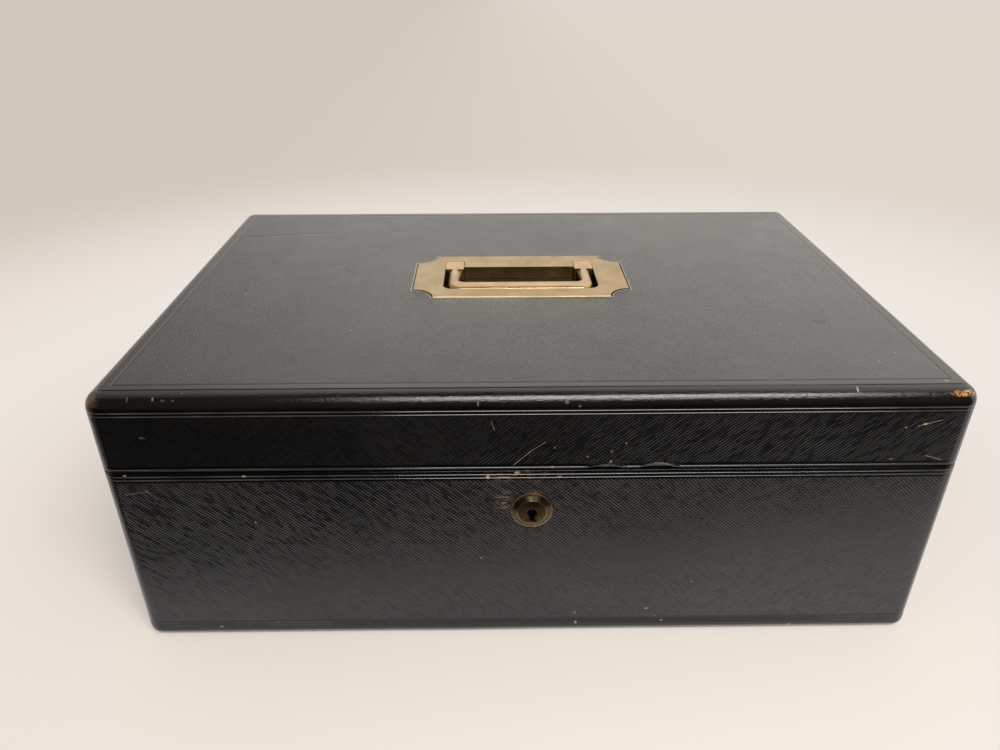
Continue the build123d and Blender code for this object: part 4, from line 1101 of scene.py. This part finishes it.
def hinge_rooms():
    """The room that each hinge takes in the leather, as two corners."""
    room = 0.3 * MM
    rooms = []
    for side in ("left", "right"):
        low = node_box(f"hinge_{side}_base_leaf")[0] - Vector((room, room, room))
        high = node_box(f"hinge_{side}_lid_leaf")[1] + Vector((room, 2 * MM, room))
        rooms.append((low, high))
    return rooms


# Pieces, one operator for each


class LidCover(bpy.types.Operator):
    """Makes the leather cover of the lid"""

    bl_idname = "dispatch_box.lid_cover"
    bl_label = "Lid leather"

    def execute(self, context):
        look = settings("leather")
        low, high = LID_LOW.z, LID_HIGH.z
        roll, wall = look.corner_radius, look.thickness
        skin = leather_skin(low, high, roll, look.rim_radius, lid_levels(), TOP_LINES, lifted=True)
        piece = new_piece("lid_leather_cover", skin)
        carve(piece, inner_block(low + wall, high - wall, roll, 0))
        rim_low, rim_high = node_box("lid_wall_lining")
        carve_blocks(piece, ((rim_low.x, rim_low.y, low - MM), (rim_high.x, rim_high.y, low + 3 * MM)))
        carve_blocks(piece, *hinge_rooms())
        hook_low, hook_high = node_box("hook_plate")
        hook_room = (hook_low.x, hook_low.y, low - MM), (hook_high.x, rim_low.y + MM, hook_high.z)
        carve_blocks(piece, hook_room)
        carve(piece, plate_room(0.05 * MM, 0.05 * MM, high - 2 * MM, high + 2 * MM))
        carve(piece, plate_room(look.plate_gap, PLATE_END_GAP, high - 0.7 * MM, high + 2 * MM))
        carve(piece, lift_gaps(low))
        add_grain_map(piece.data)
        soften(piece, radians(38))
        piece.data.materials.append(lid_leather())
        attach(piece, "lid")
        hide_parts("lid_cover")
        return {"FINISHED"}


class BaseCover(bpy.types.Operator):
    """Makes the leather cover of the base"""

    bl_idname = "dispatch_box.base_cover"
    bl_label = "Base leather"

    def execute(self, context):
        look = settings("leather")
        low, high = BASE_LOW.z, BASE_HIGH.z
        wall = look.thickness
        piece = new_piece(
            "base_leather_cover", leather_skin(low, high, look.rim_radius, look.foot_radius, base_levels())
        )
        carve(piece, inner_block(low + wall, high - wall, 0, look.foot_radius))
        rim_low, rim_high = node_box("base_floor_lining")
        top_room = (rim_low.x, rim_low.y, high - 3 * MM), (rim_high.x, rim_high.y, high + MM)
        turn_in = 16.0 * MM
        wide, deep = HALF_WIDTH - turn_in, HALF_DEPTH - turn_in
        carve_blocks(piece, top_room, ((-wide, -deep, low - MM), (wide, deep, low + 3 * MM)))
        front = node_box("lock_case")[0].y
        cap_low, cap_high = node_box("lock_cap")
        lock_room = (cap_low.x, front, high - 1.8 * MM), (cap_high.x, rim_low.y + MM, high + MM)
        carve_blocks(piece, *hinge_rooms(), lock_room)
        hole = bmesh.new()
        made = drum(hole, 7.5 * MM, 12 * MM)
        bmesh.ops.translate(hole, verts=made, vec=(NOZZLE_MIDDLE.x, -HALF_DEPTH, NOZZLE_MIDDLE.z))
        carve(piece, hole)
        add_grain_map(piece.data)
        soften(piece, radians(38))
        piece.data.materials.append(base_leather())
        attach(piece, "base")
        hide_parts("base_cover")
        return {"FINISHED"}


def edged_copy(name, node, radius, crease, material, body):
    """A copy of a CAD piece with edges rounded and those past the crease angle crisp, in a worn finish."""
    bm = bmesh.new()
    bm.from_mesh(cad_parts[node].data)
    bmesh.ops.remove_doubles(bm, verts=bm.verts[:], dist=0.0005 * MM)
    bmesh.ops.dissolve_limit(
        bm, angle_limit=radians(0.5), verts=bm.verts[:], edges=bm.edges[:], use_dissolve_boundaries=False
    )
    piece = new_piece(name, bm)
    if radius > 0:
        bevel = piece.modifiers.new("worn_edges", "BEVEL")
        bevel.width = radius
        bevel.segments = 2
        bevel.limit_method = "ANGLE"
        bevel.angle_limit = radians(35)
        bevel.harden_normals = False
        settle(piece)
    soften(piece, radians(crease))
    piece.data.materials.clear()
    piece.data.materials.append(material)
    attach(piece, body)
    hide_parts(node)


class Handle(bpy.types.Operator):
    """Makes the brass plate, keeper, pan and folding bail of the handle"""

    bl_idname = "dispatch_box.handle"
    bl_label = "Handle"

    def execute(self, context):
        look = settings("brass")
        plate = plate_finish()
        bail = brass_finish("bail_brass", Vector(look.colour) * 1.25, look.tarnish, 0.35, 0.24, 0.4)
        # The pan lies in shade under the bail: its near-black brass is painted shade
        pan = brass_finish("pan_brass_painted_shade", (0.04, 0.03, 0.014), (0.03, 0.02, 0.01), 0.8, 0.3, 0.5)
        edged_copy("plate", "handle_plate", look.edge_radius, 20, plate, "lid")
        edged_copy("keeper", "handle_keeper", 0.05 * MM, 20, plate, "lid")
        edged_copy("pan", "handle_pan", 0, 40, pan, "lid")
        edged_copy("bail", "handle_bail", 0, 40, bail, "handle")
        return {"FINISHED"}


class LockNozzle(bpy.types.Operator):
    """Makes the turned nozzle of the lock"""

    bl_idname = "dispatch_box.lock_nozzle"
    bl_label = "Lock nozzle"

    def execute(self, context):
        edged_copy("nozzle", "lock_nozzle", 0.12 * MM, 20, nozzle_finish(), "base")
        return {"FINISHED"}


def dress(nodes, material):
    """Gives CAD nodes a finish."""
    for node in nodes:
        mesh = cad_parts[node].data
        mesh.materials.clear()
        mesh.materials.append(material)


class Inside(bpy.types.Operator):
    """Gives the carcass, linings, hinges and lock works their finishes"""

    bl_idname = "dispatch_box.inside"
    bl_label = "Carcass, linings and fittings"

    def execute(self, context):
        look = settings("brass")
        names = list(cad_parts)
        wide = wood_finish("wood_wide", 0)
        deep = wood_finish("wood_deep", 1)
        boards = [n for n in names if n.endswith("_board")]
        dress([n for n in boards if "left" in n or "right" in n], deep)
        dress([n for n in boards if "left" not in n and "right" not in n], wide)
        linings = [n for n in names if n.endswith("_lining") or n.startswith("base_liner")]
        dress(linings, lining_finish("lining_paper"))
        dress(["underside_sheet"], cloth_finish())
        hinge_brass = brass_finish("hinge_brass", look.colour, look.tarnish, 0.6, 0.34, 0.5)
        dress([n for n in names if n.startswith("hinge_") or n == "lock_screws"], hinge_brass)
        lock_brass = brass_finish("lock_brass", look.lock_colour, look.tarnish, 0.5, 0.3, 0.46)
        dress([n for n in names if n.startswith(("lock_", "hook_")) and n != "lock_screws"], lock_brass)
        # The drill pin in the keyhole is near black: painted shade of the keyhole
        pin_painted_shade = brass_finish("pin_painted_shade", (0.02, 0.017, 0.012), (0, 0, 0), 0.5, 0.5, 0.6)
        dress(["lock_drill_pin"], pin_painted_shade)
        dress(["handle_plate", "handle_keeper", "handle_pan", "handle_bail"], hinge_brass)
        steel = ["handle_pins", "handle_studs", "handle_nuts", "hinge_pins", "lever_springs"]
        steel += ["lever_pivot_post", "bolt_guide_stud"]
        dress(steel, steel_finish())
        return {"FINISHED"}


class Stage(bpy.types.Operator):
    """Makes the floor, the lamp, the world and the camera"""

    bl_idname = "dispatch_box.stage"
    bl_label = "Stage"

    def execute(self, context):
        look = settings("stage")
        floor_reach = 12.0
        bm = bmesh.new()
        bmesh.ops.create_grid(bm, x_segments=2, y_segments=2, size=floor_reach)
        floor = new_piece("floor", bm)
        floor.data.materials.append(floor_finish())

        light = bpy.data.lights.new("ceiling_panel", "AREA")
        light.shape = "RECTANGLE"
        light.size, light.size_y = 0.8, 0.38
        light.energy = look.lamp_power
        light.color = (1.0, 0.965, 0.93)
        lamp = bpy.data.objects.new("ceiling_panel", light)
        lamp.location = (0.2, -0.75, 0.93)
        lamp.rotation_euler = (Vector((0, 0, 0.1)) - lamp.location).to_track_quat("-Z", "Y").to_euler()
        context.scene.collection.objects.link(lamp)

        make_world()
        camera_data = bpy.data.cameras.new("camera")
        camera_data.sensor_width = 36.0
        camera_data.lens = look.lens
        camera_data.clip_start = 0.01
        camera = bpy.data.objects.new("camera", camera_data)
        camera.location = look.camera_place
        camera.rotation_euler = look.camera_turn
        context.scene.collection.objects.link(camera)
        context.scene.camera = camera
        context.scene.view_settings.view_transform = "Standard"
        return {"FINISHED"}


def floor_finish():
    """Pale floor: lit near the box; farther off it glows in painted light, darker to the left and with
    distance; in reflections a bright strip beside the box, darker to the left, and near black farther in
    front.
    """
    look = settings("stage")
    material = bpy.data.materials.new("floor")
    nodes = Nodes(material)
    place = nodes.place()
    x, y, _ = place.parts()
    # Painted light: the glowing floor is darker to the left and farther from the box
    sideways = x.ease(-0.5, 0.5)
    far_colour = nodes.blend(sideways, look.far_left_colour, look.far_right_colour)
    near_colour = nodes.blend(sideways, look.near_left_colour, look.near_right_colour)
    reach = place.length()
    plain = nodes.blend(reach.ease(0.4, 0.85), near_colour, far_colour)
    near = nodes.make("ShaderNodeBsdfDiffuse", {"Color": look.floor_colour})
    lit = nodes.mixed(reach.ease(0.16, 0.38), near, nodes.make("ShaderNodeEmission", {"Color": plain}))
    # Painted reflection: the floor as the leather mirrors it, bright beside the box, near black in front of
    # it
    strip = nodes.blend(x.ease(-0.2, 0.2), (0.8, 0.77, 0.75), (0.98, 0.93, 0.9))
    strip = nodes.blend((y + x * 0.16).ease(-0.207, -0.168), (0.003, 0.003, 0.003), strip)
    mirrored = nodes.make("ShaderNodeEmission", {"Color": strip})
    nodes.end("ShaderNodeOutputMaterial", nodes.mixed(nodes.ray("Glossy"), lit, mirrored))
    return material


def make_world():
    """Even light for the surfaces, and a pale wall behind the box in reflections."""
    look = settings("stage")
    world = bpy.data.worlds.new("studio")
    nodes = Nodes(world)
    x, y, z = nodes.make("ShaderNodeTexCoord", output="Generated").parts()
    # Brightness seen in reflections: full behind and beside, more with height, less far to the left
    behind = (abs(x) * 0.5 + y).ease(0.0, 0.18)
    brightness = behind * z.ease(0.15, 0.62, 1.08, 1.78) * x.ease(-0.5, -0.12, 0.46, 1.08) + 0.02
    lights = (
        ((1.0, 0.965, 0.92), look.ambient),
        ((1.0, 0.945, 0.885), brightness),
        (look.far_left_colour, 1.0),
    )
    even, mirrored, far = (
        nodes.make("ShaderNodeBackground", {"Color": colour, "Strength": strength})
        for colour, strength in lights
    )
    seen = nodes.mixed(nodes.ray("Glossy"), even, mirrored)
    nodes.end("ShaderNodeOutputWorld", nodes.mixed(nodes.ray("Camera"), seen, far))
    bpy.context.scene.world = world


class DispatchBoxPanel(bpy.types.Panel):
    """Lists the pieces of the dispatch box"""

    bl_idname = "VIEW3D_PT_dispatch_box"
    bl_label = "Dispatch Box"
    bl_space_type = "VIEW_3D"
    bl_region_type = "UI"
    bl_category = "Dispatch Box"

    def draw(self, context):
        for piece in PIECES:
            self.layout.operator(piece.bl_idname)


PIECES = (Stage, Inside, LidCover, BaseCover, Handle, LockNozzle)
GROUPS = {
    "leather": LeatherSettings,
    "brass": BrassSettings,
    "inside": InsideSettings,
    "stage": StageSettings,
}


def register():
    """Registers the settings, the operators and the panel."""
    for name, group in GROUPS.items():
        bpy.utils.register_class(group)
        setattr(bpy.types.Scene, "dispatch_box_" + name, bpy.props.PointerProperty(type=group))
    for piece in PIECES:
        bpy.utils.register_class(piece)
    bpy.utils.register_class(DispatchBoxPanel)


def unregister():
    """Removes what register added."""
    bpy.utils.unregister_class(DispatchBoxPanel)
    for piece in reversed(PIECES):
        bpy.utils.unregister_class(piece)
    for name, group in GROUPS.items():
        delattr(bpy.types.Scene, "dispatch_box_" + name)
        bpy.utils.unregister_class(group)


def main():
    """Makes every piece in order."""
    register()
    for piece in PIECES:
        group, name = piece.bl_idname.split(".")
        getattr(getattr(bpy.ops, group), name)()


if __name__ == "__main__":
    main()
